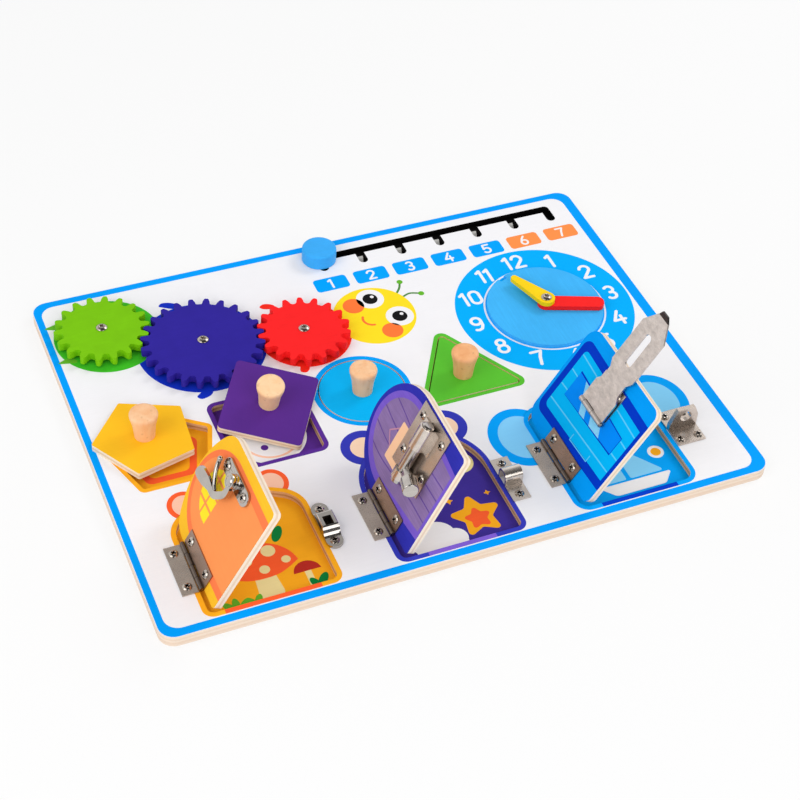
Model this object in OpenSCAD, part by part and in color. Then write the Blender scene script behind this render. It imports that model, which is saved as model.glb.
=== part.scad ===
// Wooden busy board: a flat activity board with a meshing gear train, a play clock, a day slider,
// four lift-out shape tiles, and three hinged doors that close with a swing latch, a barrel bolt
// and a hasp.
// Origin: centre of the board's underside. X to the right, Y towards the slider's edge, Z up.
// Millimetres. Each door is built closed and then swung open about its hinge.

/* [Board] */
// Width of the board along X
board_w = 400; // [396:1:440]
// Depth of the board along Y
board_d = 300; // [296:1:340]
// Corner radius of the board
board_corner_r = 10; // [4:0.5:16]
// Thickness of the face panel that holds the recesses
face_t = 5; // [4:0.1:8]
// Thickness of the back panel that floors the recesses
back_t = 3; // [2:0.1:6]
// Wood left under the tip of a screw
screw_skin = 0.8; // [0.4:0.1:1.5]

/* [Gears] */
// Module of the gear teeth
gear_module = 3.2; // [3:0.05:3.4]
// Teeth of the two outer gears
teeth_outer = 18; // [17:1:19]
// Teeth of the middle gear
teeth_middle = 24; // [22:1:25]
// Tooth height above the pitch circle
gear_addendum = 2.3; // [1.6:0.1:2.6]
// Tooth depth below the pitch circle
gear_dedendum = 3.7; // [3.2:0.1:4.5]
// Backlash along the pitch circle
gear_backlash = 0.8; // [0.4:0.1:1.6]
// Thickness of a gear
gear_t = 5.5; // [4:0.1:8]
// Middle gear's centre along X
gear_x = -104; // [-108:0.5:-100]
// Middle gear's centre along Y
gear_y = 73; // [68:0.5:76]
// Direction from the middle gear to the left gear
gear_left_dir = 151; // [146:0.5:156]
// Direction from the middle gear to the right gear
gear_right_dir = -9.5; // [-14:0.5:-6]
// Direction of one tooth of the middle gear
gear_phase = 9; // [0:0.5:15]
// Thickness of the spacer washer under a gear
washer_t = 2.2; // [1:0.1:4]
// Radius of the spacer washer
washer_r = 8; // [6:0.5:12]
// Shank radius of the axle screws of gears and clock
axle_r = 2; // [1.5:0.1:3]
// Head radius of an axle screw
axle_head_r = 4; // [3.2:0.1:6]
// Head height of an axle screw
axle_head_h = 1.6; // [1:0.1:3]
// Radial running clearance on an axle screw
axle_gap = 0.08; // [0.02:0.01:0.1]
// Clearance between stacked turning faces
face_gap = 0.1; // [0.05:0.05:0.5]

/* [Clock] */
// Clock centre along X
clock_x = 128.8; // [126:0.1:131]
// Clock centre along Y
clock_y = 35.7; // [33:0.1:40]
// Radius of the clock disc
clock_disc_r = 40.2; // [36:0.1:44]
// Thickness of the clock disc
clock_disc_t = 2.5; // [1.5:0.1:4]
// Width of the finger notch in the disc's rim
clock_notch_w = 6; // [4:0.5:10]
// Depth of the finger notch
clock_notch_d = 3; // [2:0.5:5]
// Direction of the finger notch
clock_notch_dir = 115; // [90:1:140]
// Thickness of the washer on the disc
clock_washer_t = 0.4; // [0.3:0.1:1]
// Length of the minute hand
minute_len = 40.4; // [34:0.1:46]
// Width of the minute hand
minute_w = 11; // [9:0.1:13]
// Thickness of the minute hand
minute_t = 3.4; // [2.5:0.1:5]
// Direction of the minute hand at rest
minute_dir = -20; // [-180:1:180]
// Length of the hour hand
hour_len = 31; // [24:0.1:36]
// Width of the hour hand at the pivot
hour_w = 12; // [10:0.1:15]
// Width of the hour hand at the tip
hour_tip_w = 4.8; // [4:0.1:9]
// Thickness of the hour hand
hour_t = 3.2; // [2.5:0.1:5]
// Direction of the hour hand at rest
hour_dir = 115; // [-180:1:180]

/* [Day slider] */
// Slot centre line from the back edge
slot_edge = 15.5; // [13.5:0.1:20]
// Width of the slot
slot_w = 6.5; // [5:0.1:9]
// First day stop along X
slot_x0 = 0.1; // [-8:0.1:6]
// Spacing of the day stops
stop_pitch = 29.3; // [24:0.1:29.8]
// Number of day stops
stops = 7; // [3:1:7]
// Travel of the knob into a day stop
stop_travel = 10.5; // [6:0.1:12]
// Radius of the slider knob
knob_r = 12; // [9:0.1:14]
// Height of the slider knob
knob_h = 10.2; // [6:0.1:14]
// Edge radius of the slider knob
knob_edge_r = 1.6; // [0.8:0.1:3]
// Clearance between the knob and the board
knob_gap = 0.3; // [0.2:0.1:1]
// Radial clearance of the stem in its slots
stem_gap = 0.15; // [0.1:0.05:0.5]
// Radius of the foot on the stem
foot_r = 5.2; // [4.4:0.1:6]
// Thickness of the foot
foot_t = 0.9; // [0.6:0.1:1.4]
// Thickness of the hidden carrier plate
carrier_t = 0.9; // [0.6:0.1:1.4]
// Width of the carrier along X
carrier_w = 14; // [11:0.5:18]
// Band of the carrier beyond its cross slot
carrier_band = 3; // [2:0.1:4]
// Clearance over, between and under the foot and the carrier
carrier_gap = 0.15; // [0.1:0.05:0.3]

/* [Shape tiles] */
// Clearance round a tile in its recess
tile_gap = 0.8; // [0.4:0.1:1.5]
// Edge-to-centre size of the pentagon recess
penta_apothem = 27.7; // [24:0.1:30]
// Side of the square recess
square_side = 57; // [50:0.5:58]
// Radius of the round recess
round_r = 28.9; // [25:0.1:29.5]
// Edge-to-centre size of the triangle recess
tri_apothem = 20.3; // [17:0.1:21]
// Corner radius of the pentagon recess
penta_corner = 2; // [1.6:0.1:4]
// Corner radius of the square recess
square_corner = 3.6; // [1.6:0.1:6]
// Corner radius of the triangle recess
tri_corner = 3; // [1.6:0.1:6]
// Height of a grip peg
peg_h = 20; // [14:0.5:26]
// Radius of a grip peg at the top
peg_top_r = 9; // [7:0.1:11]
// Radius of a grip peg at the tile
peg_base_r = 6.5; // [5:0.1:8]
// Radius of the peg's tenon
tenon_r = 3; // [2:0.1:4]
// Wood left in the tile under a peg's tenon
tenon_skin = 1.5; // [0.8:0.1:2]
// Lean of the square tile against its recess
lean = 11.5; // [8:0.5:12]

/* [Doors] */
// Half width of a door recess
door_half = 39.6; // [36:0.1:40]
// Recess's front edge from the board's front edge
door_front = 9.8; // [8.5:0.1:13]
// Clearance round a door in its recess
door_gap = 1.3; // [0.8:0.1:2]
// Clearance between a closed door and its recess floor
door_floor_gap = 0.2; // [0.1:0.05:0.5]
// Door 1 centre along X
door1_x = -129.8; // [-131:0.1:-128]
// Door 2 centre along X
door2_x = -10.1; // [-12:0.1:-9]
// Door 3 centre along X
door3_x = 109.5; // [109:0.1:112]
// Height of the straight side of recess 1
door1_side = 60.2; // [54:0.1:62]
// Rise of the arch over recess 1
door1_rise = 23.4; // [20:0.1:24]
// Shoulder radius of the arch over recess 1
door1_shoulder = 17; // [13:0.1:19]
// Height of the straight side of recess 2
door2_side = 55.2; // [52:0.1:56]
// Height of recess 3
door3_h = 87.7; // [80:0.1:89]
// Radius of recess 3's rear corners
door3_shoulder = 12; // [8:0.1:16]
// Radius of the front corners of recesses 1 and 2
door_corner = 4; // [3:0.1:8]
// Radius of the front corners of recess 3
door3_corner = 7; // [3:0.1:10]
// Door 1 opening angle at rest
door1_open = 61; // [0:1:130]
// Door 2 opening angle at rest
door2_open = 65; // [0:1:130]
// Door 3 opening angle at rest
door3_open = 58; // [0:1:130]

/* [Hinges] */
// Length of a hinge
hinge_l = 38; // [30:0.5:44]
// Leaf width from the pin's axis
leaf_w = 11.6; // [9.5:0.1:14]
// Leaf thickness
leaf_t = 0.9; // [0.6:0.1:1.2]
// Barrel radius
barrel_r = 1.5; // [1.3:0.05:2.2]
// Radius of the hinge pin
hinge_pin_r = 0.8; // [0.5:0.05:1]
// Radial running clearance on a hinge pin
pin_gap = 0.05; // [0.02:0.01:0.1]
// Gap between knuckles, and round a barrel
knuckle_gap = 0.3; // [0.2:0.05:0.6]
// Gap between a barrel and the board
barrel_lift = 0.1; // [0.05:0.05:0.4]
// Distance of a pin's axis from its recess wall
axis_inset = 1.2; // [0.8:0.1:1.3]
// Hinge 1 centre along Y, from the board's front edge
hinge1_y = 45.7; // [40:0.1:50]
// Hinge 2 centre along Y, from the board's front edge
hinge2_y = 47.5; // [42:0.1:52]
// Hinge 3 centre along Y, from the board's front edge
hinge3_y = 50.6; // [44:0.1:56]
// Screw's distance from the hinge axis
leaf_screw_x = 7; // [5.5:0.1:7.5]
// Screw spacing along a hinge
leaf_screw_pitch = 26.5; // [20:0.5:28]
// Head radius of the small screws
screw_head_r = 2.4; // [2:0.1:2.8]
// Head height of the small screws
screw_head_h = 1.1; // [0.8:0.1:1.3]
// Shank radius of the small screws
screw_r = 1.2; // [0.8:0.05:1.6]
// Clearance of a screw's shank in its hole
screw_gap = 0.05; // [0.02:0.01:0.2]

/* [Swing latch on door 1] */
// Pivot's distance from the door's hinge axis
sash_u = 62; // [61:0.1:63]
// Latch centre along Y, from the board's front edge
sash_y = 52.6; // [46:0.1:56]
// Length of the latch's base plate
sash_base_l = 37; // [34:0.5:42]
// Width of the latch's base plate
sash_base_w = 10; // [8:0.1:12]
// Thickness of the base and keeper plates
sash_plate_t = 2; // [1.5:0.1:2.4]
// Screw spacing on the base and the keeper
sash_screw_pitch = 26.4; // [24:0.1:30]
// Height of the pivot boss
sash_boss_h = 4.2; // [4:0.1:6]
// Radius of the pivot boss
sash_boss_r = 4.6; // [4:0.1:5.5]
// Shank radius of the pivot rivet
rivet_r = 1.8; // [1.2:0.1:2.2]
// Head radius of the pivot rivet
rivet_head_r = 3.3; // [2.6:0.1:4]
// Head height of the pivot rivet
rivet_head_h = 1.1; // [0.8:0.1:2]
// Thickness of the lever
lever_t = 2; // [1.5:0.1:3]
// Width of the lever's arm
lever_w = 4.6; // [4:0.1:5.4]
// Radius of the lever's bend
lever_bend_r = 10.3; // [9.5:0.1:10.8]
// Length of the lever's raised thumb tab
thumb_l = 14; // [12:0.1:15]
// Slope of the thumb tab
thumb_rise = 20; // [15:1:30]
// Radius of the hook's wire
hook_wire_r = 1.45; // [1:0.05:1.5]
// Bend radius of the hook
hook_bend_r = 19.6; // [18.5:0.1:21]
// Reach of the hook's end from the pivot
hook_reach = 19.5; // [19:0.1:20]
// Radius of the ball on the hook
hook_ball_r = 1.7; // [1.5:0.05:2]
// Keeper's centre from the door's hinge axis
keeper_u = 85.4; // [85.2:0.1:86.5]
// How far the keeper sits in front of the latch's pivot
keeper_drop = 3.6; // [3:0.1:4]
// Length of the keeper
keeper_l = 36.5; // [34:0.5:42]
// Width of the keeper
keeper_w = 10.5; // [9.5:0.1:10.8]
// Length of the keeper's raised housing
keeper_house_l = 20.4; // [18:0.1:20.8]
// Roof thickness of the keeper's housing
keeper_roof = 1; // [0.8:0.1:2]
// Clearance round the hook in the keeper
hook_gap = 0.4; // [0.3:0.05:0.8]

/* [Barrel bolt on door 2] */
// Near edge of the bolt's plate from the hinge axis
bolt_u0 = 29.5; // [28:0.1:31]
// Length of the bolt's plate
bolt_plate_l = 46; // [44:0.1:46.5]
// Width of the bolt's plate
bolt_plate_w = 36.3; // [30:0.1:40]
// Thickness of the bolt's plate and keeper
bolt_plate_t = 1; // [0.7:0.1:1.5]
// Bolt's axis along Y, from the board's front edge
bolt_y = 47; // [42:0.1:52]
// Radius of the bolt
bolt_r = 3.8; // [3:0.1:4.5]
// Length of the bolt
bolt_l = 45; // [42:0.1:46]
// Rear end of the bolt from the plate's near edge
bolt_tail = 3; // [1:0.1:5]
// Radial clearance of the bolt in its guides
bolt_gap = 0.2; // [0.1:0.05:0.4]
// Thickness of the guide straps
strap_t = 1.1; // [0.8:0.1:1.5]
// Length of the rear guide along the bolt
rear_guide_l = 6; // [4:0.1:7]
// Length of the front guide along the bolt
front_guide_l = 16; // [12:0.1:17]
// Rear edge of the front guide from the plate's near edge
front_guide_at = 24.5; // [24:0.1:28]
// Foot of a guide beyond the bolt's axis
guide_foot = 9.2; // [8:0.1:11]
// Radius of the pin between the bolt and its knob
knob_pin_r = 2.1; // [1.6:0.1:2.6]
// Radius of the bolt knob
bolt_knob_r = 5; // [4:0.1:6]
// Length of the bolt knob
bolt_knob_l = 10; // [7:0.1:12]
// Distance of the bolt knob from the bolt's axis
bolt_knob_at = 13; // [11:0.1:16]
// Rise of the bolt knob above the plate's plane
bolt_knob_rise = 15; // [12:1:30]
// Near edge of the keeper from the hinge axis
bolt_keeper_u = 80.5; // [80:0.1:84]
// Length of the keeper along the bolt
bolt_keeper_l = 12; // [8:0.1:14]

/* [Hasp on door 3] */
// Hasp pin from the door's hinge axis
hasp_u = 41.5; // [38:0.1:43]
// Hasp centre along Y, from the board's front edge
hasp_y = 52; // [46:0.1:56]
// Width of the hasp
hasp_w = 26; // [24:0.1:30]
// Thickness of the hasp's strap
hasp_t = 1.2; // [0.8:0.1:1.5]
// Thickness of the fixed leaf and the staple's flanges
hasp_leaf_t = 1; // [0.7:0.1:1.2]
// Length of the fixed leaf
hasp_leaf_l = 24; // [20:0.1:27]
// Radius of the hasp's barrel
hasp_barrel_r = 2.1; // [1.8:0.05:2.4]
// Radius of the hasp's pin
hasp_pin_r = 1.1; // [0.8:0.05:1.3]
// Length of the strap from the pin
hasp_l = 79; // [76:0.1:82]
// Width of the strap's waist
hasp_waist_w = 20; // [16:0.1:22]
// Width of the strap's tip
hasp_tip_w = 11; // [8:0.1:16]
// Width of the fixed knuckle
hasp_knuckle_w = 10; // [8:0.1:12]
// Start of the slot from the pin
hasp_slot_at = 37.5; // [36.5:0.1:38]
// Length of the slot
hasp_slot_l = 25; // [24:0.1:27]
// Width of the slot
hasp_slot_w = 6; // [5:0.1:8]
// Thickness of the staple's fin
fin_t = 3; // [2:0.1:3.5]
// Length of the staple along X
staple_l = 20; // [18:0.1:20.5]
// Clearance between the fin and the start of the slot
staple_gap = 2.4; // [2.2:0.1:3]
// Height of the staple's fin
fin_h = 17; // [16:0.1:18]
// Width of the staple across both flanges
staple_w = 30.4; // [28:0.1:34]
// Radius of the padlock hole
padlock_r = 4; // [3:0.1:4.5]
// Height of the padlock hole above the board
padlock_h = 10.4; // [9.8:0.1:11]

/* [Hidden] */
$fn = 64;
eps = 0.01;
top_z = back_t + face_t;
door_t = face_t - door_floor_gap;
wood_bite = door_t - screw_skin;

// gear train
pitch_r_outer = gear_module * teeth_outer / 2;
pitch_r_middle = gear_module * teeth_middle / 2;
gear_centres = pitch_r_outer + pitch_r_middle;
gear_z = top_z + washer_t + face_gap;
gear_bore_r = axle_r + axle_gap;
gear_mid_at = [gear_x, gear_y];
gear_left_at = gear_mid_at + gear_centres * [cos(gear_left_dir), sin(gear_left_dir)];
gear_right_at = gear_mid_at + gear_centres * [cos(gear_right_dir), sin(gear_right_dir)];
// angle that puts an outer gear's teeth in the middle gear's gaps along the line of centres
function mesh_phase(dir) =
    dir + 180 - 360 / teeth_outer * (0.5 - (dir - gear_phase) / (360 / teeth_middle));

// clock stack
clock_washer_z = top_z + clock_disc_t;
minute_z = clock_washer_z + clock_washer_t + face_gap;
hour_z = minute_z + minute_t + 2 * face_gap;
clock_head_z = hour_z + hour_t + face_gap;

// day slider
slot_y = board_d / 2 - slot_edge;
slot_x1 = slot_x0 + (stops - 1) * stop_pitch;
stem_r = slot_w / 2 - stem_gap;
channel_h = carrier_t + foot_t + 3 * carrier_gap;
channel_z = back_t;
carrier_z = channel_z + channel_h - carrier_gap - carrier_t;
foot_z = carrier_z - carrier_gap - foot_t;
stem_seat = knob_h * 0.6;
carrier_y0 = slot_y - stop_travel - slot_w / 2 - carrier_band;
carrier_y1 = slot_y + slot_w / 2 + carrier_band;

// tiles
tile_t = face_t;
tenon_d = tile_t - tenon_skin;
penta_at = [-156.3, -7.5];
square_at = [-88.4, -9.3];
round_at = [-19.6, 1.5];
tri_at = [48.9, -5.4];
penta_rest = [-163.9, 4.3, top_z];
penta_turn = 31.4 - 90;
square_turn = 13 - 45;
square_rest = [-83, 3.4, top_z + 7.76];

// doors: [centre x, side height, rise, shoulder radius, front corner radius, opening, hinge y]
front_y = -board_d / 2 + door_front;
doors = [
    [door1_x, door1_side, door1_rise, door1_shoulder, door_corner, door1_open, hinge1_y],
    [door2_x, door2_side, door_half, door_half, door_corner, door2_open, hinge2_y],
    [door3_x, door3_h - door3_shoulder, door3_shoulder, door3_shoulder, door3_corner,
        door3_open, hinge3_y]
];
axis_z = top_z + barrel_r + barrel_lift;
function hinge_x(d) = d[0] - door_half + axis_inset;
function hinge_y(d) = -board_d / 2 + d[6];
knuckle_l = (hinge_l - 3 * knuckle_gap) / 4;
door_pin_r = hinge_pin_r + pin_gap;
screw_hole_r = screw_r + screw_gap;

// swing latch, closed
sash_at = [hinge_x(doors[0]) + sash_u, -board_d / 2 + sash_y, top_z];
lever_z = sash_boss_h + 2 * face_gap;
hook_z = lever_z + 0.4;
keeper_at = [hinge_x(doors[0]) + keeper_u, sash_at[1] - keeper_drop, top_z];
tunnel_z0 = hook_z - hook_ball_r - hook_gap;
tunnel_z1 = hook_z + hook_ball_r + hook_gap;
keeper_h = tunnel_z1 + keeper_roof;

// barrel bolt, closed
bolt_at = [hinge_x(doors[1]) + bolt_u0, -board_d / 2 + bolt_y, top_z];
bolt_h = bolt_plate_t + bolt_gap + bolt_r;
guide_in_r = bolt_r + bolt_gap;
guide_out_r = guide_in_r + strap_t;
knob_pin_x = rear_guide_l + 0.5 + knob_gap + knob_pin_r;
bolt_keeper_x = hinge_x(doors[1]) + bolt_keeper_u;

// hasp, closed
hasp_at = [hinge_x(doors[2]) + hasp_u, -board_d / 2 + hasp_y, top_z];
hasp_axis_h = hasp_leaf_t + hasp_barrel_r;
staple_x = hasp_at[0] + hasp_slot_at + staple_gap;

// Which node to build; "all" builds the whole board

// ---------------------------------------------------------------- shared shapes

// square of sides w and d with rounded corners, centred
module rounded_rect(w, d, r) {
    square([w - 2 * r, d], center = true);
    square([w, d - 2 * r], center = true);
    for (sx = [-1, 1], sy = [-1, 1])
        translate([sx * (w / 2 - r), sy * (d / 2 - r)]) circle(r);
}

// strip of width w with round ends from p to q
module bar(p, q, w) {
    v = q - p;
    translate(p) rotate(atan2(v[1], v[0])) translate([0, -w / 2]) square([norm(v), w]);
    translate(p) circle(w / 2);
    translate(q) circle(w / 2);
}

// regular polygon by edge distance, corners rounded to r, first corner along +X
module rounded_ngon(n, apothem, r) {
    R = (apothem - r) / cos(180 / n);
    function at(a, d) = d * [cos(a), sin(a)];
    polygon([for (i = [0:n - 1], k = [-6:6])
        at(360 / n * i, R) + at(360 / n * (i + k / 12), r)]);
}

// disc with a rounded upper edge
module rounded_disc(r, h, edge) {
    rotate_extrude() {
        square([r - edge, h]);
        square([r, h - edge]);
        translate([r - edge, h - edge])
            intersection() {
                circle(edge);
                square(edge);
            }
    }
}

// low domed head, flat side down
module dome_head(r, h) {
    ball = (r * r + h * h) / (2 * h);
    intersection() {
        translate([0, 0, h - ball]) sphere(ball);
        cylinder(h = h, r = r);
    }
}

// screw seen from its head's seat; the shank runs down through what it holds
module small_screw(grip) {
    dome_head(screw_head_r, screw_head_h);
    translate([0, 0, -(grip + wood_bite)]) cylinder(h = grip + wood_bite + eps, r = screw_r);
}

// swings a door's fittings from closed to their rest opening
module swing(i) {
    d = doors[i];
    translate([hinge_x(d), 0, axis_z])
        rotate([0, -d[5], 0])
            translate([-hinge_x(d), 0, -axis_z]) children();
}

// screw seats, as points from each fitting's own origin
function leaf_seats(side) =
    [for (s = [-1, 1]) [side * leaf_screw_x, s * leaf_screw_pitch / 2]];
sash_seats = [for (s = [-1, 1]) [0, s * sash_screw_pitch / 2]];
bolt_seat_y = bolt_plate_w / 2 - screw_head_r - 2.2;
bolt_seats = [for (x = [11.5, 38.2], s = [-1, 1]) [x, s * bolt_seat_y]];
bolt_keeper_seats = [for (s = [-1, 1]) [bolt_keeper_l / 2, s * bolt_seat_y]];
hasp_leaf_seats = [for (x = [9.5, hasp_leaf_l - 5], s = [-1, 1]) [x, s * (hasp_w / 2 - 4.5)]];
staple_seats = [for (x = [0.17, 0.83], s = [-1, 1]) [x * staple_l, s * (staple_w / 2 - 4.6)]];

// ---------------------------------------------------------------- board

// door recess or door outline about its own centre line; c is the clearance inside the recess
module door_outline(d, c) {
    a = door_half - c;
    rise = d[2] - c;
    r = d[3] - c;
    rf = max(d[4] - c, 0.5);
    y0 = front_y + c;
    y1 = front_y + d[1];
    translate([d[0], 0]) {
        translate([-a, y0 + rf]) square([2 * a, y1 - y0 - rf]);
        translate([-a + rf, y0]) square([2 * (a - rf), rf + eps]);
        for (s = [-1, 1]) {
            translate([s * (a - rf), y0 + rf]) circle(rf);
            translate([s * (a - r), y1]) circle(r);
        }
        if (rise > r + eps) {
            R = ((a - r) * (a - r) + rise * rise - r * r) / (2 * (rise - r));
            foot = y1 + rise - R;
            intersection() {
                translate([0, foot]) circle(R);
                polygon([[0, foot], [3 * (a - r), foot + 3 * (y1 - foot)],
                    [-3 * (a - r), foot + 3 * (y1 - foot)]]);
            }
        } else if (a > r + eps) {
            translate([-(a - r), y1 - eps]) square([2 * (a - r), rise + eps]);
        }
    }
}

module slot_outline() {
    bar([slot_x0, slot_y], [slot_x1, slot_y], slot_w);
    for (k = [0:stops - 1])
        bar([slot_x0 + k * stop_pitch, slot_y],
            [slot_x0 + k * stop_pitch, slot_y - stop_travel], slot_w);
}

module channel() {
    x0 = slot_x0 - carrier_w / 2 - carrier_gap;
    x1 = slot_x1 + carrier_w / 2 + carrier_gap;
    translate([x0, carrier_y0 - carrier_gap, channel_z - eps])
        cube([x1 - x0, carrier_y1 - carrier_y0 + 2 * carrier_gap, channel_h + eps]);
}

module at_seats(points) {
    for (p = points) translate(p) children();
}

module screw_pilot() {
    translate([0, 0, -wood_bite - eps]) cylinder(h = wood_bite + 1, r = screw_hole_r);
}

module axle_pilot() {
    translate([0, 0, -wood_bite - eps]) cylinder(h = wood_bite + 1, r = axle_r + screw_gap);
}

module back_panel() {
    color("BurlyWood")
        linear_extrude(back_t) rounded_rect(board_w, board_d, board_corner_r);
}

module top_panel() {
    color("White")
        difference() {
            translate([0, 0, back_t])
                linear_extrude(face_t) rounded_rect(board_w, board_d, board_corner_r);
            translate([0, 0, back_t - eps])
                linear_extrude(face_t + 1) {
                    for (d = doors) door_outline(d, 0);
                    translate(penta_at) rotate(90) rounded_ngon(5, penta_apothem, penta_corner);
                    translate(square_at) rounded_rect(square_side, square_side, square_corner);
                    translate(round_at) circle(round_r);
                    translate(tri_at) rotate(90) rounded_ngon(3, tri_apothem, tri_corner);
                    slot_outline();
                }
            channel();
            for (p = [gear_left_at, gear_mid_at, gear_right_at, [clock_x, clock_y]])
                translate([p[0], p[1], top_z]) axle_pilot();
            for (d = doors)
                translate([hinge_x(d), hinge_y(d), top_z]) at_seats(leaf_seats(-1)) screw_pilot();
            translate(keeper_at) at_seats(sash_seats) screw_pilot();
            translate([bolt_keeper_x, bolt_at[1], top_z])
                at_seats(bolt_keeper_seats) screw_pilot();
            translate([staple_x, hasp_at[1], top_z]) at_seats(staple_seats) screw_pilot();
        }
}

// ---------------------------------------------------------------- gears

function inv_deg(a) = tan(a) * 180 / PI - a;

// one tooth's outline, from the middle of one gap to just before the next, as [radius, angle]
function tooth(n) =
    let (
        rp = gear_module * n / 2,
        rb = rp * cos(20),
        root = rp - gear_dedendum,
        tip = rp + gear_addendum,
        half = 180 / n,
        half_tooth = (PI * gear_module / 2 - gear_backlash) / 2 / rp * 180 / PI + inv_deg(20),
        gap = half - half_tooth,
        flank = [for (k = [1:3]) rb + k / 3 * (tip - 0.4 - rb)],
        rise = concat(
            [for (t = [90, 60, 30, 0]) [rb - (rb - root) * sin(t), -half + gap * cos(t)]],
            [for (r = flank) [r, -half_tooth + inv_deg(acos(rb / r))]],
            [[tip, (-half_tooth + inv_deg(acos(rb / tip))) * 0.6]]
        )
    )
    concat(rise, [for (i = [len(rise) - 1:-1:1]) [rise[i][0], -rise[i][1]]]);

module gear_outline(n, phase) {
    profile = tooth(n);
    polygon([
        for (i = [0:n - 1], p = profile)
            p[0] * [cos(phase + 360 / n * i + p[1]), sin(phase + 360 / n * i + p[1])]
    ]);
}

module gear(n, phase, at) {
    translate([at[0], at[1], gear_z])
        difference() {
            linear_extrude(gear_t) gear_outline(n, phase);
            translate([0, 0, -1]) cylinder(h = gear_t + 2, r = gear_bore_r);
        }
}

module green_gear() {
    color("YellowGreen") gear(teeth_outer, mesh_phase(gear_left_dir), gear_left_at);
}

module blue_gear() {
    color("MediumBlue") gear(teeth_middle, gear_phase, gear_mid_at);
}

module red_gear() {
    color("Tomato") gear(teeth_outer, mesh_phase(gear_right_dir), gear_right_at);
}

module at_gears() {
    for (p = [gear_left_at, gear_mid_at, gear_right_at])
        translate([p[0], p[1], top_z]) children();
}

module gear_washers() {
    color("Silver")
        at_gears()
            difference() {
                cylinder(h = washer_t, r = washer_r);
                translate([0, 0, -1]) cylinder(h = washer_t + 2, r = axle_r + screw_gap);
            }
}

// domed screw on which a piece turns; grip is the height of its head's seat above the board
module axle_screw(grip) {
    translate([0, 0, grip]) dome_head(axle_head_r, axle_head_h);
    translate([0, 0, -wood_bite]) cylinder(h = wood_bite + grip + eps, r = axle_r);
}

module gear_screws() {
    color("Silver") at_gears() axle_screw(gear_z - top_z + gear_t + face_gap);
}

// ---------------------------------------------------------------- clock

module at_clock(z) {
    translate([clock_x, clock_y, z]) children();
}

module clock_disc() {
    color("LightSkyBlue")
        at_clock(top_z)
            difference() {
                cylinder(h = clock_disc_t, r = clock_disc_r);
                translate([0, 0, -1]) cylinder(h = clock_disc_t + 2, r = axle_r + screw_gap);
                rotate(clock_notch_dir)
                    translate([clock_disc_r - clock_notch_d, -clock_notch_w / 2, -1])
                        cube([clock_notch_d + 5, clock_notch_w, clock_disc_t + 2]);
            }
}

module clock_washer() {
    color("Silver")
        at_clock(clock_washer_z)
            difference() {
                cylinder(h = clock_washer_t, r = axle_head_r);
                translate([0, 0, -1]) cylinder(h = clock_washer_t + 2, r = axle_r + screw_gap);
            }
}

// hand along +X with a round pivot end and a softly squared tip
module hand_outline(len, w, tip_w, tip_r) {
    circle(w / 2);
    polygon([[0, -w / 2], [len - tip_r, -tip_w / 2], [len - tip_r, tip_w / 2], [0, w / 2]]);
    for (s = [-1, 1]) translate([len - tip_r, s * (tip_w / 2 - tip_r)]) circle(tip_r);
    translate([len - tip_r - eps, -(tip_w / 2 - tip_r)]) square([tip_r + eps, tip_w - 2 * tip_r]);
}

module hand(len, w, tip_w, tip_r, t) {
    difference() {
        linear_extrude(t) hand_outline(len, w, tip_w, tip_r);
        translate([0, 0, -1]) cylinder(h = t + 2, r = axle_r + axle_gap);
    }
}

module minute_hand() {
    color("Red")
        at_clock(minute_z) rotate(minute_dir)
            hand(minute_len, minute_w, minute_w - 0.5, 4.6, minute_t);
}

module hour_hand() {
    color("Gold")
        at_clock(hour_z) rotate(hour_dir) hand(hour_len, hour_w, hour_tip_w, 2, hour_t);
}

module clock_screw() {
    color("Silver") at_clock(top_z) axle_screw(clock_head_z - top_z);
}

// ---------------------------------------------------------------- day slider

module slider_carrier() {
    color("DimGray")
        translate([0, 0, carrier_z])
            linear_extrude(carrier_t)
                difference() {
                    translate([slot_x0 - carrier_w / 2, carrier_y0])
                        square([carrier_w, carrier_y1 - carrier_y0]);
                    bar([slot_x0, slot_y - stop_travel], [slot_x0, slot_y], slot_w);
                }
}

module slider_stem() {
    color("Silver")
        translate([slot_x0, slot_y, 0]) {
            translate([0, 0, foot_z]) cylinder(h = foot_t, r = foot_r);
            translate([0, 0, foot_z])
                cylinder(h = top_z + knob_gap + stem_seat - foot_z, r = stem_r);
        }
}

module slider_knob() {
    color("DodgerBlue")
        translate([slot_x0, slot_y, top_z + knob_gap])
            difference() {
                rounded_disc(knob_r, knob_h, knob_edge_r);
                translate([0, 0, -1]) cylinder(h = stem_seat + 1, r = stem_r);
            }
}

// ---------------------------------------------------------------- shape tiles

module tenon_hole() {
    translate([0, 0, tile_t - tenon_d]) cylinder(h = tenon_d + 1, r = tenon_r);
}

// turned grip peg standing on z = 0, with its tenon below
module peg() {
    color("BurlyWood") {
        rotate_extrude()
            polygon([
                [0, 0], [peg_base_r, 0], [peg_base_r + 0.2, 0.15 * peg_h],
                [peg_base_r + 0.35 * (peg_top_r - peg_base_r), 0.5 * peg_h],
                [peg_top_r - 0.1, 0.84 * peg_h], [peg_top_r, 0.91 * peg_h],
                [peg_top_r - 0.4, 0.96 * peg_h], [peg_top_r - 1.4, 0.99 * peg_h], [0, peg_h]
            ]);
        translate([0, 0, -tenon_d]) cylinder(h = tenon_d + eps, r = tenon_r);
    }
}

// where each tile rests, from its underside's centre
module penta_place() {
    translate(penta_rest) rotate(penta_turn) children();
}

module square_place() {
    translate(square_rest) rotate([lean, 0, 0]) translate([0, 0, -tile_t]) rotate(square_turn)
        children();
}

module pentagon_tile() {
    color("Orange")
        penta_place()
            difference() {
                linear_extrude(tile_t)
                    rotate(90) rounded_ngon(5, penta_apothem - tile_gap, penta_corner - tile_gap);
                tenon_hole();
            }
}

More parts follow.
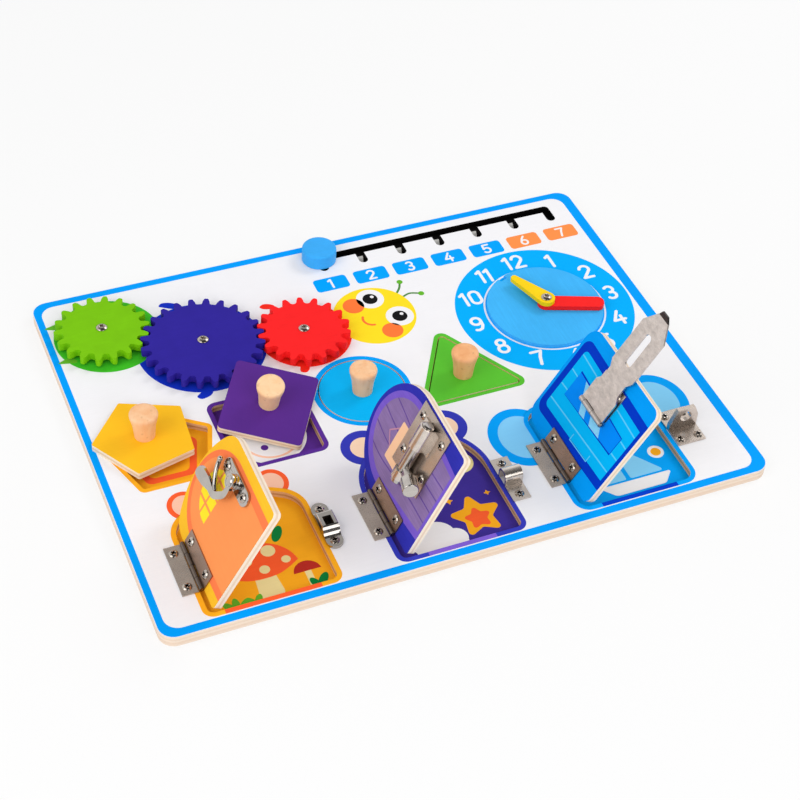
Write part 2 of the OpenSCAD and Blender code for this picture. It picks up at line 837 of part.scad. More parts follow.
module square_tile() {
    side = square_side - 3.5 * tile_gap;
    color("RebeccaPurple")
        square_place()
            difference() {
                linear_extrude(tile_t) rounded_rect(side, side, square_corner - tile_gap);
                tenon_hole();
            }
}

module round_tile() {
    color("DeepSkyBlue")
        translate([round_at[0], round_at[1], back_t])
            difference() {
                cylinder(h = tile_t, r = round_r - tile_gap);
                tenon_hole();
            }
}

module triangle_tile() {
    color("LimeGreen")
        translate([tri_at[0], tri_at[1], back_t])
            difference() {
                linear_extrude(tile_t)
                    rotate(90) rounded_ngon(3, tri_apothem - tile_gap, tri_corner - tile_gap);
                tenon_hole();
            }
}

module pentagon_peg() {
    penta_place() translate([0, 0, tile_t]) peg();
}

module square_peg() {
    square_place() translate([0, 0, tile_t]) peg();
}

module round_peg() {
    translate([round_at[0], round_at[1], back_t + tile_t]) peg();
}

module triangle_peg() {
    translate([tri_at[0], tri_at[1], back_t + tile_t]) peg();
}

// ---------------------------------------------------------------- doors and hinges

// seats of what is screwed to a closed door, from the board's origin
function shifted(points, p) = [for (q = points) [q[0] + p[0], q[1] + p[1]]];
door_seats = [
    concat(shifted(leaf_seats(1), [hinge_x(doors[0]), hinge_y(doors[0])]),
        shifted(sash_seats, sash_at)),
    concat(shifted(leaf_seats(1), [hinge_x(doors[1]), hinge_y(doors[1])]),
        shifted(bolt_seats, bolt_at)),
    concat(shifted(leaf_seats(1), [hinge_x(doors[2]), hinge_y(doors[2])]),
        shifted(hasp_leaf_seats, hasp_at))
];

module door_panel(i) {
    swing(i)
        difference() {
            translate([0, 0, top_z - door_t]) linear_extrude(door_t) door_outline(doors[i], door_gap);
            translate([0, 0, top_z]) at_seats(door_seats[i]) screw_pilot();
        }
}

// leaf about a hinge at the origin, its plate on z = 0 towards side; knuckles 0 to 3 run from
// the front, and each leaf carries every other one
module leaf(side, first, bore_r) {
    axis_h = barrel_r + barrel_lift;
    clear = barrel_r + knuckle_gap;
    difference() {
        union() {
            translate([side > 0 ? clear : -leaf_w, -hinge_l / 2, 0])
                cube([leaf_w - clear, hinge_l, leaf_t]);
            for (k = [first, first + 2])
                translate([0, -hinge_l / 2 + k * (knuckle_l + knuckle_gap), 0]) {
                    translate([0, 0, axis_h]) rotate([-90, 0, 0]) cylinder(h = knuckle_l, r = barrel_r);
                    translate([side > 0 ? 0 : -clear - eps, 0, barrel_lift])
                        cube([clear + eps, knuckle_l, leaf_t - barrel_lift]);
                }
        }
        translate([0, -hinge_l / 2 - 1, axis_h])
            rotate([-90, 0, 0]) cylinder(h = hinge_l + 2, r = bore_r);
        at_seats(leaf_seats(side)) translate([0, 0, -1]) cylinder(h = leaf_t + 2, r = screw_hole_r);
    }
}

module at_hinge(i) {
    translate([hinge_x(doors[i]), hinge_y(doors[i]), top_z]) children();
}

module board_leaf(i) {
    color("DarkGray") at_hinge(i) leaf(-1, 1, hinge_pin_r);
}

module door_leaf(i) {
    color("DarkGray") swing(i) at_hinge(i) leaf(1, 0, door_pin_r);
}

module hinge_pin(i) {
    color("Silver")
        at_hinge(i)
            translate([0, -hinge_l / 2, barrel_r + barrel_lift])
                rotate([-90, 0, 0]) cylinder(h = hinge_l, r = hinge_pin_r);
}

module board_hinge_screws() {
    color("Silver")
        for (i = [0:2]) at_hinge(i) translate([0, 0, leaf_t]) at_seats(leaf_seats(-1))
            small_screw(leaf_t);
}

module door_leaf_screws(i) {
    swing(i) at_hinge(i) translate([0, 0, leaf_t]) at_seats(leaf_seats(1)) small_screw(leaf_t);
}

module door1_panel() { color("Orange") door_panel(0); }
module door2_panel() { color("SlateBlue") door_panel(1); }
module door3_panel() { color("DodgerBlue") door_panel(2); }
module door1_board_leaf() { board_leaf(0); }
module door2_board_leaf() { board_leaf(1); }
module door3_board_leaf() { board_leaf(2); }
module door1_door_leaf() { door_leaf(0); }
module door2_door_leaf() { door_leaf(1); }
module door3_door_leaf() { door_leaf(2); }
module door1_hinge_pin() { hinge_pin(0); }
module door2_hinge_pin() { hinge_pin(1); }
module door3_hinge_pin() { hinge_pin(2); }

module door1_screws() {
    color("Silver") {
        door_leaf_screws(0);
        swing(0) translate(sash_at) translate([0, 0, sash_plate_t]) at_seats(sash_seats)
            small_screw(sash_plate_t);
    }
}

module door2_screws() {
    color("Silver") {
        door_leaf_screws(1);
        swing(1) translate(bolt_at) translate([0, 0, bolt_plate_t]) at_seats(bolt_seats)
            small_screw(bolt_plate_t);
    }
}

module door3_screws() {
    color("Silver") {
        door_leaf_screws(2);
        swing(2) translate(hasp_at) translate([0, 0, hasp_leaf_t]) at_seats(hasp_leaf_seats)
            small_screw(hasp_leaf_t);
    }
}

module keeper_screws() {
    color("Silver") {
        translate(keeper_at) translate([0, 0, sash_plate_t]) at_seats(sash_seats)
            small_screw(sash_plate_t);
        translate([bolt_keeper_x, bolt_at[1], top_z + bolt_plate_t]) at_seats(bolt_keeper_seats)
            small_screw(bolt_plate_t);
        translate([staple_x, hasp_at[1], top_z + hasp_leaf_t]) at_seats(staple_seats)
            small_screw(hasp_leaf_t);
    }
}

// ---------------------------------------------------------------- swing latch

// plate with round ends along Y, with its two screw holes
module latch_plate(l, w) {
    difference() {
        linear_extrude(sash_plate_t) bar([0, -(l - w) / 2], [0, (l - w) / 2], w);
        at_seats(sash_seats)
            translate([0, 0, -1]) cylinder(h = sash_plate_t + 2, r = screw_hole_r);
    }
}

module sash_base() {
    color("LightGray")
        swing(0) translate(sash_at)
            difference() {
                union() {
                    latch_plate(sash_base_l, sash_base_w);
                    cylinder(h = sash_boss_h, r = sash_boss_r);
                }
                translate([0, 0, -1]) cylinder(h = sash_boss_h + 2, r = rivet_r);
            }
}

module sash_rivet() {
    color("LightGray")
        swing(0) translate(sash_at) {
            cylinder(h = lever_z + lever_t + face_gap + eps, r = rivet_r);
            translate([0, 0, lever_z + lever_t + face_gap]) dome_head(rivet_head_r, rivet_head_h);
        }
}

// lever from its pivot at the origin: round a bend, up to a raised thumb tab, with a wire hook
// beside it
lever_bend_at = lever_bend_r * [-cos(50), sin(50)];
lever_knee = [lever_bend_at[0] - lever_bend_r, lever_bend_at[1]];
lever_tab = [lever_knee[0], lever_knee[1] + 4.8];
hook_end = [-0.4, sqrt(hook_reach * hook_reach - 0.4 * 0.4)];
hook_at = hook_end + hook_bend_r * [cos(-80), sin(-80)];

function lever_r(a) = lever_bend_r - (a > 90 ? 1.3 * pow(sin(2 * (a - 90)), 2) : 0);
lever_path = concat(
    [for (a = [50:6.5:180]) lever_bend_at + lever_r(a) * [cos(a), -sin(a)]],
    [lever_tab + [0, 0.5]]
);

// one side of a band of width w along a path; s is 1 for its left side, -1 for its right
function band_side(path, w, s) =
    [for (i = [0:len(path) - 1])
        let (d = path[min(i + 1, len(path) - 1)] - path[max(i - 1, 0)])
        path[i] + s * w / 2 / norm(d) * [-d[1], d[0]]];

function turned_back(points) = [for (i = [len(points) - 1:-1:0]) points[i]];

module lever_outline() {
    circle(sash_boss_r);
    polygon(concat(band_side(lever_path, lever_w, -1), turned_back(band_side(lever_path, lever_w, 1))));
}

// half widths of the thumb tab along its length
thumb_ends = [
    [-0.3, 2.5], [2, 3.2], [5, 4.2], [thumb_l - 3.6, 4.3], [thumb_l - 1.5, 3.7],
    [thumb_l - 0.4, 2.4], [thumb_l, 0.8]
];

module thumb_tab() {
    translate([lever_tab[0], lever_tab[1], lever_t / 2])
        rotate([0, 0, 78]) rotate([0, -thumb_rise, 0])
            translate([0, 0, -lever_t / 2])
                linear_extrude(lever_t)
                    polygon(concat(thumb_ends,
                        [for (e = turned_back(thumb_ends)) [e[0], -e[1]]]));
}

module sash_lever() {
    color("LightGray")
        swing(0) translate(sash_at)
            difference() {
                union() {
                    translate([0, 0, lever_z]) {
                        linear_extrude(lever_t) lever_outline();
                        thumb_tab();
                    }
                    translate([hook_at[0], hook_at[1], hook_z])
                        rotate(100) rotate_extrude(angle = 57)
                            translate([hook_bend_r, 0]) circle(hook_wire_r, $fn = 24);
                    translate([hook_end[0], hook_end[1], hook_z]) sphere(hook_ball_r);
                }
                translate([0, 0, lever_z - 1]) cylinder(h = lever_t + 2, r = rivet_r + axle_gap);
            }
}

// side view of the keeper's housing, a low saddle over the plate
keeper_ramp = 5.2;

module keeper_side() {
    step = 0.3;
    function high(k) = sash_plate_t + step
        + (keeper_h - sash_plate_t - step) * (1 - cos(180 * k / 10)) / 2;
    polygon(concat(
        [[-keeper_house_l / 2, 0.5]],
        [for (k = [0:10]) [-keeper_house_l / 2 + keeper_ramp * k / 10, high(k)]],
        [for (k = [10:-1:0]) [keeper_house_l / 2 - keeper_ramp * k / 10, high(k)]],
        [[keeper_house_l / 2, 0.5]]
    ));
}

module sash_keeper() {
    reach = hook_reach + hook_ball_r + hook_gap;
    pocket = sash_u + reach - keeper_u + keeper_w / 2;
    color("LightGray")
        translate(keeper_at)
            difference() {
                union() {
                    latch_plate(keeper_l, keeper_w);
                    intersection() {
                        translate([-keeper_w / 2, 0, 0]) rotate([90, 0, 90])
                            linear_extrude(keeper_w) keeper_side();
                        rotate([90, 0, 0]) translate([0, 0, -keeper_house_l])
                            linear_extrude(2 * keeper_house_l)
                                translate([0, keeper_h / 2 - 3])
                                    rounded_rect(keeper_w, keeper_h + 6, 1.2);
                    }
                }
                // path of the hook's ball, swung in from one side under the roof
                translate([sash_u - keeper_u, keeper_drop, tunnel_z0])
                    intersection() {
                        cylinder(h = tunnel_z1 - tunnel_z0, r = reach);
                        translate([0, -keeper_drop - 4.5, 0]) cube([reach, 2 * reach, tunnel_z1]);
                    }
                // window over the pocket's end
                translate([pocket - keeper_w / 2 - 1, -5, sash_plate_t])
                    cube([5.4, 7, keeper_h]);
            }
}

// ---------------------------------------------------------------- barrel bolt

// strap bent over the bolt, seen along it; down is how far its legs reach below the bolt's axis
module guide_outline(foot, foot_t, down) {
    difference() {
        union() {
            intersection() {
                circle(guide_out_r);
                translate([-guide_out_r, 0]) square(2 * guide_out_r);
            }
            translate([-guide_out_r, -down]) square([2 * guide_out_r, down + eps]);
            translate([-foot, -down]) square([2 * foot, foot_t]);
        }
        circle(guide_in_r);
        translate([-guide_in_r, -down - 1]) square([2 * guide_in_r, down + 1]);
    }
}

// extrudes a yz outline along +X
module along_x(l) {
    rotate([90, 0, 90]) linear_extrude(l) children();
}

module bolt_plate() {
    color("DarkGray")
        swing(1) translate(bolt_at)
            difference() {
                translate([0, -bolt_plate_w / 2, 0]) cube([bolt_plate_l, bolt_plate_w, bolt_plate_t]);
                at_seats(bolt_seats)
                    translate([0, 0, -1]) cylinder(h = bolt_plate_t + 2, r = screw_hole_r);
            }
}

module bolt_guides() {
    color("Silver")
        swing(1) translate(bolt_at) translate([0, 0, bolt_h]) {
            translate([0.5, 0, 0])
                along_x(rear_guide_l) guide_outline(guide_foot - 1.5, strap_t, bolt_h - bolt_plate_t);
            translate([front_guide_at, 0, 0])
                along_x(front_guide_l) guide_outline(guide_foot, strap_t, bolt_h - bolt_plate_t);
        }
}

module knob_frame() {
    swing(1) translate(bolt_at) translate([knob_pin_x, 0, bolt_h])
        rotate([90 - bolt_knob_rise, 0, 0]) children();
}

module bolt_rod() {
    color("LightGray")
        difference() {
            swing(1) translate(bolt_at) translate([-bolt_tail, 0, bolt_h])
                rotate([0, 90, 0])
                    rotate_extrude()
                        polygon([[0, 0], [bolt_r - 0.6, 0], [bolt_r, 0.6], [bolt_r, bolt_l - 0.9],
                            [bolt_r - 0.9, bolt_l], [0, bolt_l]]);
            knob_frame() cylinder(h = bolt_r + 1, r = knob_pin_r);
        }
}

module bolt_knob() {
    color("LightGray")
        knob_frame() {
            cylinder(h = bolt_knob_at + eps, r = knob_pin_r);
            translate([0, 0, bolt_knob_at - 6.5]) cylinder(h = 6.5 + eps, r = 3.3, $fn = 6);
            translate([0, 0, bolt_knob_at]) rounded_disc(bolt_knob_r, bolt_knob_l, 0.8);
        }
}

module bolt_keeper() {
    color("Silver")
        translate([bolt_keeper_x, bolt_at[1], top_z])
            difference() {
                translate([0, 0, bolt_h])
                    along_x(bolt_keeper_l) guide_outline(bolt_plate_w / 2, bolt_plate_t, bolt_h);
                at_seats(bolt_keeper_seats)
                    translate([0, 0, -1]) cylinder(h = bolt_plate_t + 2, r = screw_hole_r);
            }
}

// ---------------------------------------------------------------- hasp

// strap's fixed knuckle sits off centre towards the back
hasp_knuckle_y = hasp_w / 2 - 4.5 - hasp_knuckle_w;

module hasp_leaf() {
    clear = hasp_barrel_r + knuckle_gap;
    color("DarkGray")
        swing(2) translate(hasp_at)
            difference() {
                union() {
                    translate([clear, -hasp_w / 2, 0])
                        cube([hasp_leaf_l - clear, hasp_w, hasp_leaf_t]);
                    translate([-hasp_leaf_t, hasp_knuckle_y, 0])
                        cube([hasp_leaf_t + clear + eps, hasp_knuckle_w, hasp_leaf_t]);
                    translate([-hasp_barrel_r * 0.7, hasp_knuckle_y, 0])
                        cube([hasp_barrel_r * 1.4, hasp_knuckle_w, hasp_axis_h]);
                    translate([0, hasp_knuckle_y, hasp_axis_h])
                        rotate([-90, 0, 0]) cylinder(h = hasp_knuckle_w, r = hasp_barrel_r);
                }
                translate([0, -hasp_w, hasp_axis_h])
                    rotate([-90, 0, 0]) cylinder(h = 2 * hasp_w, r = hasp_pin_r);
                at_seats(hasp_leaf_seats)
                    translate([0, 0, -1]) cylinder(h = hasp_leaf_t + 2, r = screw_hole_r);
            }
}

module hasp_pin() {
    color("Silver")
        swing(2) translate(hasp_at) translate([0, -hasp_w / 2, hasp_axis_h]) {
            rotate([-90, 0, 0]) cylinder(h = hasp_w, r = hasp_pin_r);
            rotate([90, 0, 0]) dome_head(hasp_barrel_r - 0.3, 1.2);
        }
}

// half widths of the strap along its length, from the pin
strap_ends = [
    [0, hasp_w / 2], [16.5, hasp_w / 2], [20.5, hasp_waist_w / 2], [29, hasp_waist_w / 2],
    [33.5, hasp_w / 2], [hasp_l - 13.5, hasp_w / 2], [hasp_l - 3, hasp_tip_w / 2]
];

module hasp_strap() {
    gap_y0 = hasp_knuckle_y - knuckle_gap;
    gap_w = hasp_knuckle_w + 2 * knuckle_gap;
    clear = hasp_barrel_r + knuckle_gap;
    color("DarkGray")
        swing(2) translate(hasp_at) translate([0, 0, hasp_axis_h])
            difference() {
                union() {
                    translate([0, 0, -hasp_t / 2])
                        linear_extrude(hasp_t)
                            difference() {
                                polygon(concat(strap_ends,
                                    [for (i = [len(strap_ends) - 1:-1:0])
                                        [strap_ends[i][0], -strap_ends[i][1]]]));
                                bar([hasp_slot_at + hasp_slot_w / 2, 0],
                                    [hasp_slot_at + hasp_slot_l - hasp_slot_w / 2, 0],
                                    hasp_slot_w);
                            }
                    // bent-up finger tip
                    translate([hasp_l - 3, 0, 0]) rotate([0, -20, 0])
                        translate([-0.2, 0, -hasp_t / 2])
                            linear_extrude(hasp_t)
                                polygon([[0, hasp_tip_w / 2], [4, hasp_tip_w / 2 - 2.5],
                                    [4, -hasp_tip_w / 2 + 2.5], [0, -hasp_tip_w / 2]]);
                    translate([0, -hasp_w / 2, 0])
                        rotate([-90, 0, 0]) cylinder(h = hasp_w, r = hasp_barrel_r);
                }
                translate([-clear, gap_y0, -clear]) cube([2 * clear, gap_w, 2 * clear]);
                translate([0, -hasp_w, 0])
                    rotate([-90, 0, 0]) cylinder(h = 2 * hasp_w, r = hasp_pin_r + pin_gap);
            }
}

module hasp_staple() {
    lead = staple_l * 0.23;
    color("Silver")
        translate([staple_x, hasp_at[1], top_z])
            difference() {
                union() {
                    translate([0, -staple_w / 2, 0]) cube([staple_l, staple_w, hasp_leaf_t]);
                    translate([0, fin_t / 2, 0]) rotate([90, 0, 0])
                        linear_extrude(fin_t)
                            polygon([[0, 0], [0, fin_h * 0.32], [lead, fin_h],
                                [staple_l - 3, fin_h], [staple_l, fin_h * 0.6], [staple_l, 0]]);
                }
                translate([staple_l * 0.55, -staple_w, padlock_h])
                    rotate([-90, 0, 0]) cylinder(h = 2 * staple_w, r = padlock_r);
                at_seats(staple_seats)
                    translate([0, 0, -1]) cylinder(h = hasp_leaf_t + 2, r = screw_hole_r);
            }
}

// ---------------------------------------------------------------- assembly

back_panel();
top_panel();
gear_washers();
gear_screws();
green_gear();
blue_gear();
red_gear();
clock_disc();
clock_washer();
minute_hand();
hour_hand();
clock_screw();
slider_carrier();
slider_stem();
slider_knob();
pentagon_tile();
pentagon_peg();
square_tile();
square_peg();
round_tile();
round_peg();
triangle_tile();
triangle_peg();
door1_panel();
door1_board_leaf();
door1_door_leaf();
door1_hinge_pin();
door1_screws();
door2_panel();
door2_board_leaf();
door2_door_leaf();
door2_hinge_pin();
door2_screws();
door3_panel();
door3_board_leaf();
door3_door_leaf();
door3_hinge_pin();
door3_screws();
board_hinge_screws();
keeper_screws();
sash_base();
sash_rivet();
sash_lever();
sash_keeper();
bolt_plate();
bolt_guides();
bolt_rod();
bolt_knob();
bolt_keeper();
hasp_leaf();
hasp_pin();
hasp_strap();
hasp_staple();
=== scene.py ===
import math
import random

import bpy
from mathutils import Matrix, Vector
from mathutils.geometry import delaunay_2d_cdt


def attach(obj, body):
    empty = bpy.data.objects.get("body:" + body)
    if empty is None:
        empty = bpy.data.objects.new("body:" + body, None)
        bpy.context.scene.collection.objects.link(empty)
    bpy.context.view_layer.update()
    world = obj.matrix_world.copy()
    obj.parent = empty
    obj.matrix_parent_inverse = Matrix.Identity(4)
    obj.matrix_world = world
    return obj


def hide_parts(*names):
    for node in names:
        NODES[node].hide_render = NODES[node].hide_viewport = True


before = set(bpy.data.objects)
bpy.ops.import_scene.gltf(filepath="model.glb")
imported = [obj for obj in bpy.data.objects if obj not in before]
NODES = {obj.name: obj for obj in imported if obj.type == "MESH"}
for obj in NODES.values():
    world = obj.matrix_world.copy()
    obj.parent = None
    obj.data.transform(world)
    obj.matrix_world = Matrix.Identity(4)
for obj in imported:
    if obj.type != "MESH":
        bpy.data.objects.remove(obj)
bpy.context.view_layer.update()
MM = 0.001

# ------------------------------------------------------------------ camera

# the photo's camera: the directions of its right, its down and its view, and its place in mm
RIGHT = Vector((0.9152077, -0.3968146, 0.0702355))
DOWN = Vector((-0.2318860, -0.6611160, -0.7135506))
AHEAD = Vector((0.3295811, 0.6367604, -0.6970742))
EYE = (-353.175, -763.018, 815.858)

cam_data = bpy.data.cameras.new("camera")
cam = bpy.data.objects.new("camera", cam_data)
bpy.context.scene.collection.objects.link(cam)
bpy.context.scene.camera = cam
cam.matrix_world = Matrix(
    [(RIGHT[k], -DOWN[k], -AHEAD[k], EYE[k] * MM) for k in range(3)] + [(0, 0, 0, 1)]
)
cam_data.sensor_width = 36
cam_data.lens = 80.47
cam_data.shift_x = -0.05864
cam_data.clip_end = 20

# ------------------------------------------------------------------ sizes of the part, mm

TOP = 8.0  # board's upper face
FLOOR = 3.0  # recess floors
TILE_T = 5
DOOR_T = 4.8
GAP = 1.3  # door to recess
AXIS_Z = 9.6  # hinge pins
FRONT_Y = -140.2  # front edge of the door recesses
HALF = 39.6  # half their width
# centre x, side height, rise, shoulder radius, front corner radius, opening, hinge y
DOORS = [
    (-129.8, 60.2, 23.4, 17.0, 4.0, 61.0, -104.3),
    (-10.1, 55.2, 39.6, 39.6, 4.0, 65.0, -102.5),
    (109.5, 75.7, 12.0, 12.0, 7.0, 58.0, -99.4),
]
HINGE_X = [d[0] - HALF + 1.2 for d in DOORS]
PENTA_AT, SQUARE_AT, ROUND_AT, TRI_AT = (-156.3, -7.5), (-88.4, -9.3), (-19.6, 1.5), (48.9, -5.4)
SQUARE_LEAN = math.radians(11.5)
CLOCK_AT = (128.8, 35.7)
GEAR_MID = (-104.0, 73.0)
GEAR_D = 67.2  # from the middle gear's axle to the other two
STOP_X = [0.1 + 29.3 * k for k in range(7)]
SLOT = (-7.0, 183.0, 117.7, 140.8)  # the slot with its stops, x and y
HASP_AXIS, HASP_BEND = (91.82, 45.59), 74  # the strap's pin, and from there to its bent tip

# prints, mm
INK = 0.04  # thickness of one layer
PRINT_INSET = GAP + 0.15  # a door's print, from its recess
DOOR_MARGIN, EAR_CUT = 3.2, 3.0  # printed margin of a door recess; the ears run on under it
NUMERAL_R, NUMERAL_H, NUMERAL_W = 51.0, 13.8, 2.2  # on the clock: circle, height, stroke
DAY_PITCH, DAY_X, DAY_Y = 29.42, (-13, 11), (100.2, 113.4)  # day labels: step, first one's ends
DAY_MID, DAY_H, DAY_W = 106.8, 9.4, 1.5  # their numbers: middle in y, height, stroke
LIT_WEDGE = [(-3.2, 126.4), (1.2, 126.4), (3.4, 133.2), (-3.2, 133.2)]  # pale wedge on a stop's floor, painted light where the lamp reaches past the stop's wall
BUTTON_AT = (-88.4, -13.5)


def swing(i):
    """Closed door frame of door i, in mm, to the part's frame at rest, in metres."""
    hx = HINGE_X[i]
    turn = Matrix.Rotation(-math.radians(DOORS[i][5]), 4, "Y")
    there, back = Matrix.Translation((hx, 0, AXIS_Z)), Matrix.Translation((-hx, 0, -AXIS_Z))
    return Matrix.Scale(MM, 4) @ there @ turn @ back


FLAT = Matrix.Scale(MM, 4)

# ------------------------------------------------------------------ materials


def srgb(r, g, b):
    """Colour written as 0 to 255 in sRGB, as linear RGBA."""

    def lin(v):
        v /= 255.0
        return v / 12.92 if v <= 0.04045 else ((v + 0.055) / 1.055) ** 2.4

    return (lin(r), lin(g), lin(b), 1.0)


def grey(v):
    return (v, v, v, 1.0)


def shade(c, k):
    """Linear colour c made k times as bright."""
    return (min(c[0] * k, 1), min(c[1] * k, 1), min(c[2] * k, 1), 1.0)


def plug(tree, socket, value):
    """Links a socket to value, or sets value as its constant."""
    if isinstance(value, bpy.types.NodeSocket):
        tree.links.new(value, socket)
    else:
        socket.default_value = value


def add_node(tree, kind, values=None, **attributes):
    n = tree.nodes.new("ShaderNode" + kind)
    for k, v in attributes.items():
        setattr(n, k, v)
    for k, v in (values or {}).items():
        plug(tree, n.inputs[k], v)
    return n


def calc(tree, op, a, b):
    return add_node(tree, "Math", {0: a, 1: b}, operation=op).outputs[0]


def spread(tree, value, low, high, to_low, to_high, **how):
    """Maps low..high of value to to_low..to_high."""
    values = {0: value, 1: low, 2: high, 3: to_low, 4: to_high}
    return add_node(tree, "MapRange", values, **how).outputs[0]


class Mat:
    """Small helper that builds a node material round one Principled shader."""

    def __init__(self, name, rough=0.4, metal=0.0, spec=0.5):
        self.m = bpy.data.materials.new(name)
        self.m.use_nodes = True
        self.t = self.m.node_tree
        self.bsdf = self.t.nodes["Principled BSDF"]
        self.bsdf.inputs["Roughness"].default_value = rough
        self.bsdf.inputs["Metallic"].default_value = metal
        self.bsdf.inputs["Specular IOR Level"].default_value = spec
        self.coord = self.t.nodes.new("ShaderNodeTexCoord")

    def math(self, op, a, b):
        return calc(self.t, op, a, b)

    def space(self, scale=(1, 1, 1), rotation=(0, 0, 0)):
        """Object coordinates in mm, turned and scaled for a texture."""
        scale = tuple(1000 * s for s in scale)
        v = self.coord.outputs["Object"]
        return add_node(self.t, "Mapping", {0: v, 2: rotation, 3: scale}).outputs[0]

    def noise(self, vector, scale, detail=3.0, rough=0.5, distortion=0.0):
        values = {
            "Vector": vector, "Scale": scale, "Detail": detail, "Roughness": rough,
            "Distortion": distortion,
        }
        return add_node(self.t, "TexNoise", values).outputs[0]

    def ramp(self, factor, *stops):
        r = add_node(self.t, "ValToRGB", {0: factor})
        e = r.color_ramp.elements
        while len(e) < len(stops):
            e.new(0.5)
        for i, (p, c) in enumerate(stops):
            e[i].position = p
            e[i].color = c
        return r.outputs[0]

    def mix(self, factor, a, b, blend="MIX"):
        values = {0: factor, 6: a, 7: b}
        return add_node(self.t, "Mix", values, data_type="RGBA", blend_type=blend).outputs[2]

    def fade(self, factor, low, high, a, b, most=1):
        """Goes from a to b while factor goes from low to high; most is the largest share of b."""
        return self.mix(self.ramp(factor, (low, grey(0)), (high, grey(most))), a, b)

    def spread(self, *values):
        return spread(self.t, *values)

    def out(self, socket, value):
        plug(self.t, self.bsdf.inputs[socket], value)

    def bump(self, height, strength, distance_mm):
        values = {"Height": height, "Strength": strength, "Distance": distance_mm * MM}
        self.out("Normal", add_node(self.t, "Bump", values).outputs[0])


# direction in which wood grain runs, as texture scales
GRAIN_X = (0.06, 1.0, 1.0)
GRAIN_Y = (1.0, 0.06, 1.0)


def printed(name, rgb, grain=GRAIN_X, rough=0.5, show=0.06, bump=0.05, spec=0.03):
    """Ink on wood: faint long grain in colour, gloss and relief, and soft clouds of ink."""
    m = Mat(name, rough=rough, spec=spec)
    c = srgb(*rgb)
    v = m.space(grain)
    long = m.noise(v, 1.1, 5.0, 0.6, 0.25)
    cloud = m.noise(m.space(), 0.05, 3.0, 0.55)
    fine = m.noise(v, 5.0, 2.0, 0.5)
    tone = m.fade(long, 0.34, 0.68, shade(c, 1 - 0.5 * show), shade(c, 1 + 0.25 * show))
    m.out("Base Color", m.fade(cloud, 0.35, 0.7, tone, shade(c, 1 - show), 0.7))
    m.out("Roughness", m.spread(fine, 0.3, 0.7, rough - 0.07, rough + 0.09))
    m.bump(long, bump, 0.15)
    return m.m


def ply(name, axis, low, high, bands, light=(248, 232, 208), dark=(222, 188, 152)):
    """Sawn plywood edge: layers between low and high along axis (unit vector, mm).

    Bands are pairs of a height, 0 to 1, and how dark the wood is there.
    """
    m = Mat(name, rough=0.62, spec=0.2)
    v = m.space()
    dot = add_node(m.t, "VectorMath", {0: v, 1: axis}, operation="DOT_PRODUCT").outputs["Value"]
    wobble = m.math("MULTIPLY", m.math("SUBTRACT", m.noise(v, 0.12, 3.0, 0.6), 0.5), 0.035)
    height = m.math("ADD", m.spread(dot, low, high, 0.0, 1.0), wobble)
    a, b = srgb(*light), srgb(*dark)
    stops = [(p, (*(a[i] * (1 - k) + b[i] * k for i in range(3)), 1.0)) for p, k in bands]
    streak = m.noise(v, 0.9, 4.0, 0.65)
    pores = m.ramp(m.noise(v, 2.6, 2.0, 0.6), (0.30, grey(0.7)), (0.42, grey(1)))
    tone = m.fade(streak, 0.35, 0.75, m.ramp(height, *stops), srgb(232, 204, 170), 0.3)
    m.out("Base Color", m.mix(0.4, tone, pores, "MULTIPLY"))
    m.bump(streak, 0.35, 0.25)
    return m.m


def bare_wood(name, rgb):
    m = Mat(name, rough=0.55, spec=0.25)
    c = srgb(*rgb)
    v = m.space(GRAIN_X)
    long = m.noise(v, 0.9, 5.0, 0.62, 0.3)
    fine = m.noise(v, 4.5, 3.0, 0.6)
    tone = m.fade(long, 0.32, 0.68, shade(c, 0.82), shade(c, 1.08))
    m.out("Base Color", m.fade(fine, 0.55, 0.75, tone, shade(c, 0.66), 0.35))
    m.bump(long, 0.2, 0.2)
    return m.m


def steel(name, rgb, rough, scratch=0.5, stretch=(1, 1, 1), patch=(0.88, 1.08), cloud=0.10):
    """Plated steel: faint scratches, a cloudy gloss and patches of two brightnesses."""
    m = Mat(name, rough=rough, metal=1.0)
    c = srgb(*rgb)
    v = m.space(stretch)
    clouds = m.noise(v, cloud, 4.0, 0.6)
    fine = m.noise(v, 1.6, 4.0, 0.6)
    vary = min(scratch, 0.5)
    tone = m.fade(clouds, 0.3, 0.7, shade(c, patch[0]), shade(c, patch[1]))
    m.out("Base Color", m.fade(fine, 0.52, 0.8, tone, shade(c, 0.4), 0.3 * scratch))
    gloss = (rough * (1 - 0.4 * vary), rough * (1 + 0.6 * vary))
    m.out("Roughness", m.spread(fine, 0.3, 0.72, *gloss))
    m.bump(fine, 0.03 * scratch, 0.05)
    return m.m


# ------------------------------------------------------------------ flat outlines, mm


def polar(c, r, angle):
    """Point at distance r from c, in the direction angle in degrees."""
    a = math.radians(angle)
    return (c[0] + r * math.cos(a), c[1] + r * math.sin(a))


def arc(c, r, a0, a1, n):
    """Points on an arc about c, in n steps, angles in degrees."""
    return [polar(c, r, a0 + (a1 - a0) * k / n) for k in range(n + 1)]


def circle(c, r, n=96):
    return arc(c, r, 0, 360, n)[:-1]


def ellipse(c, rx, ry, turn=0):
    ca, sa = math.cos(math.radians(turn)), math.sin(math.radians(turn))
    n, out = 64, []
    for k in range(n):
        x, y = rx * math.cos(2 * math.pi * k / n), ry * math.sin(2 * math.pi * k / n)
        out.append((c[0] + x * ca - y * sa, c[1] + x * sa + y * ca))
    return out


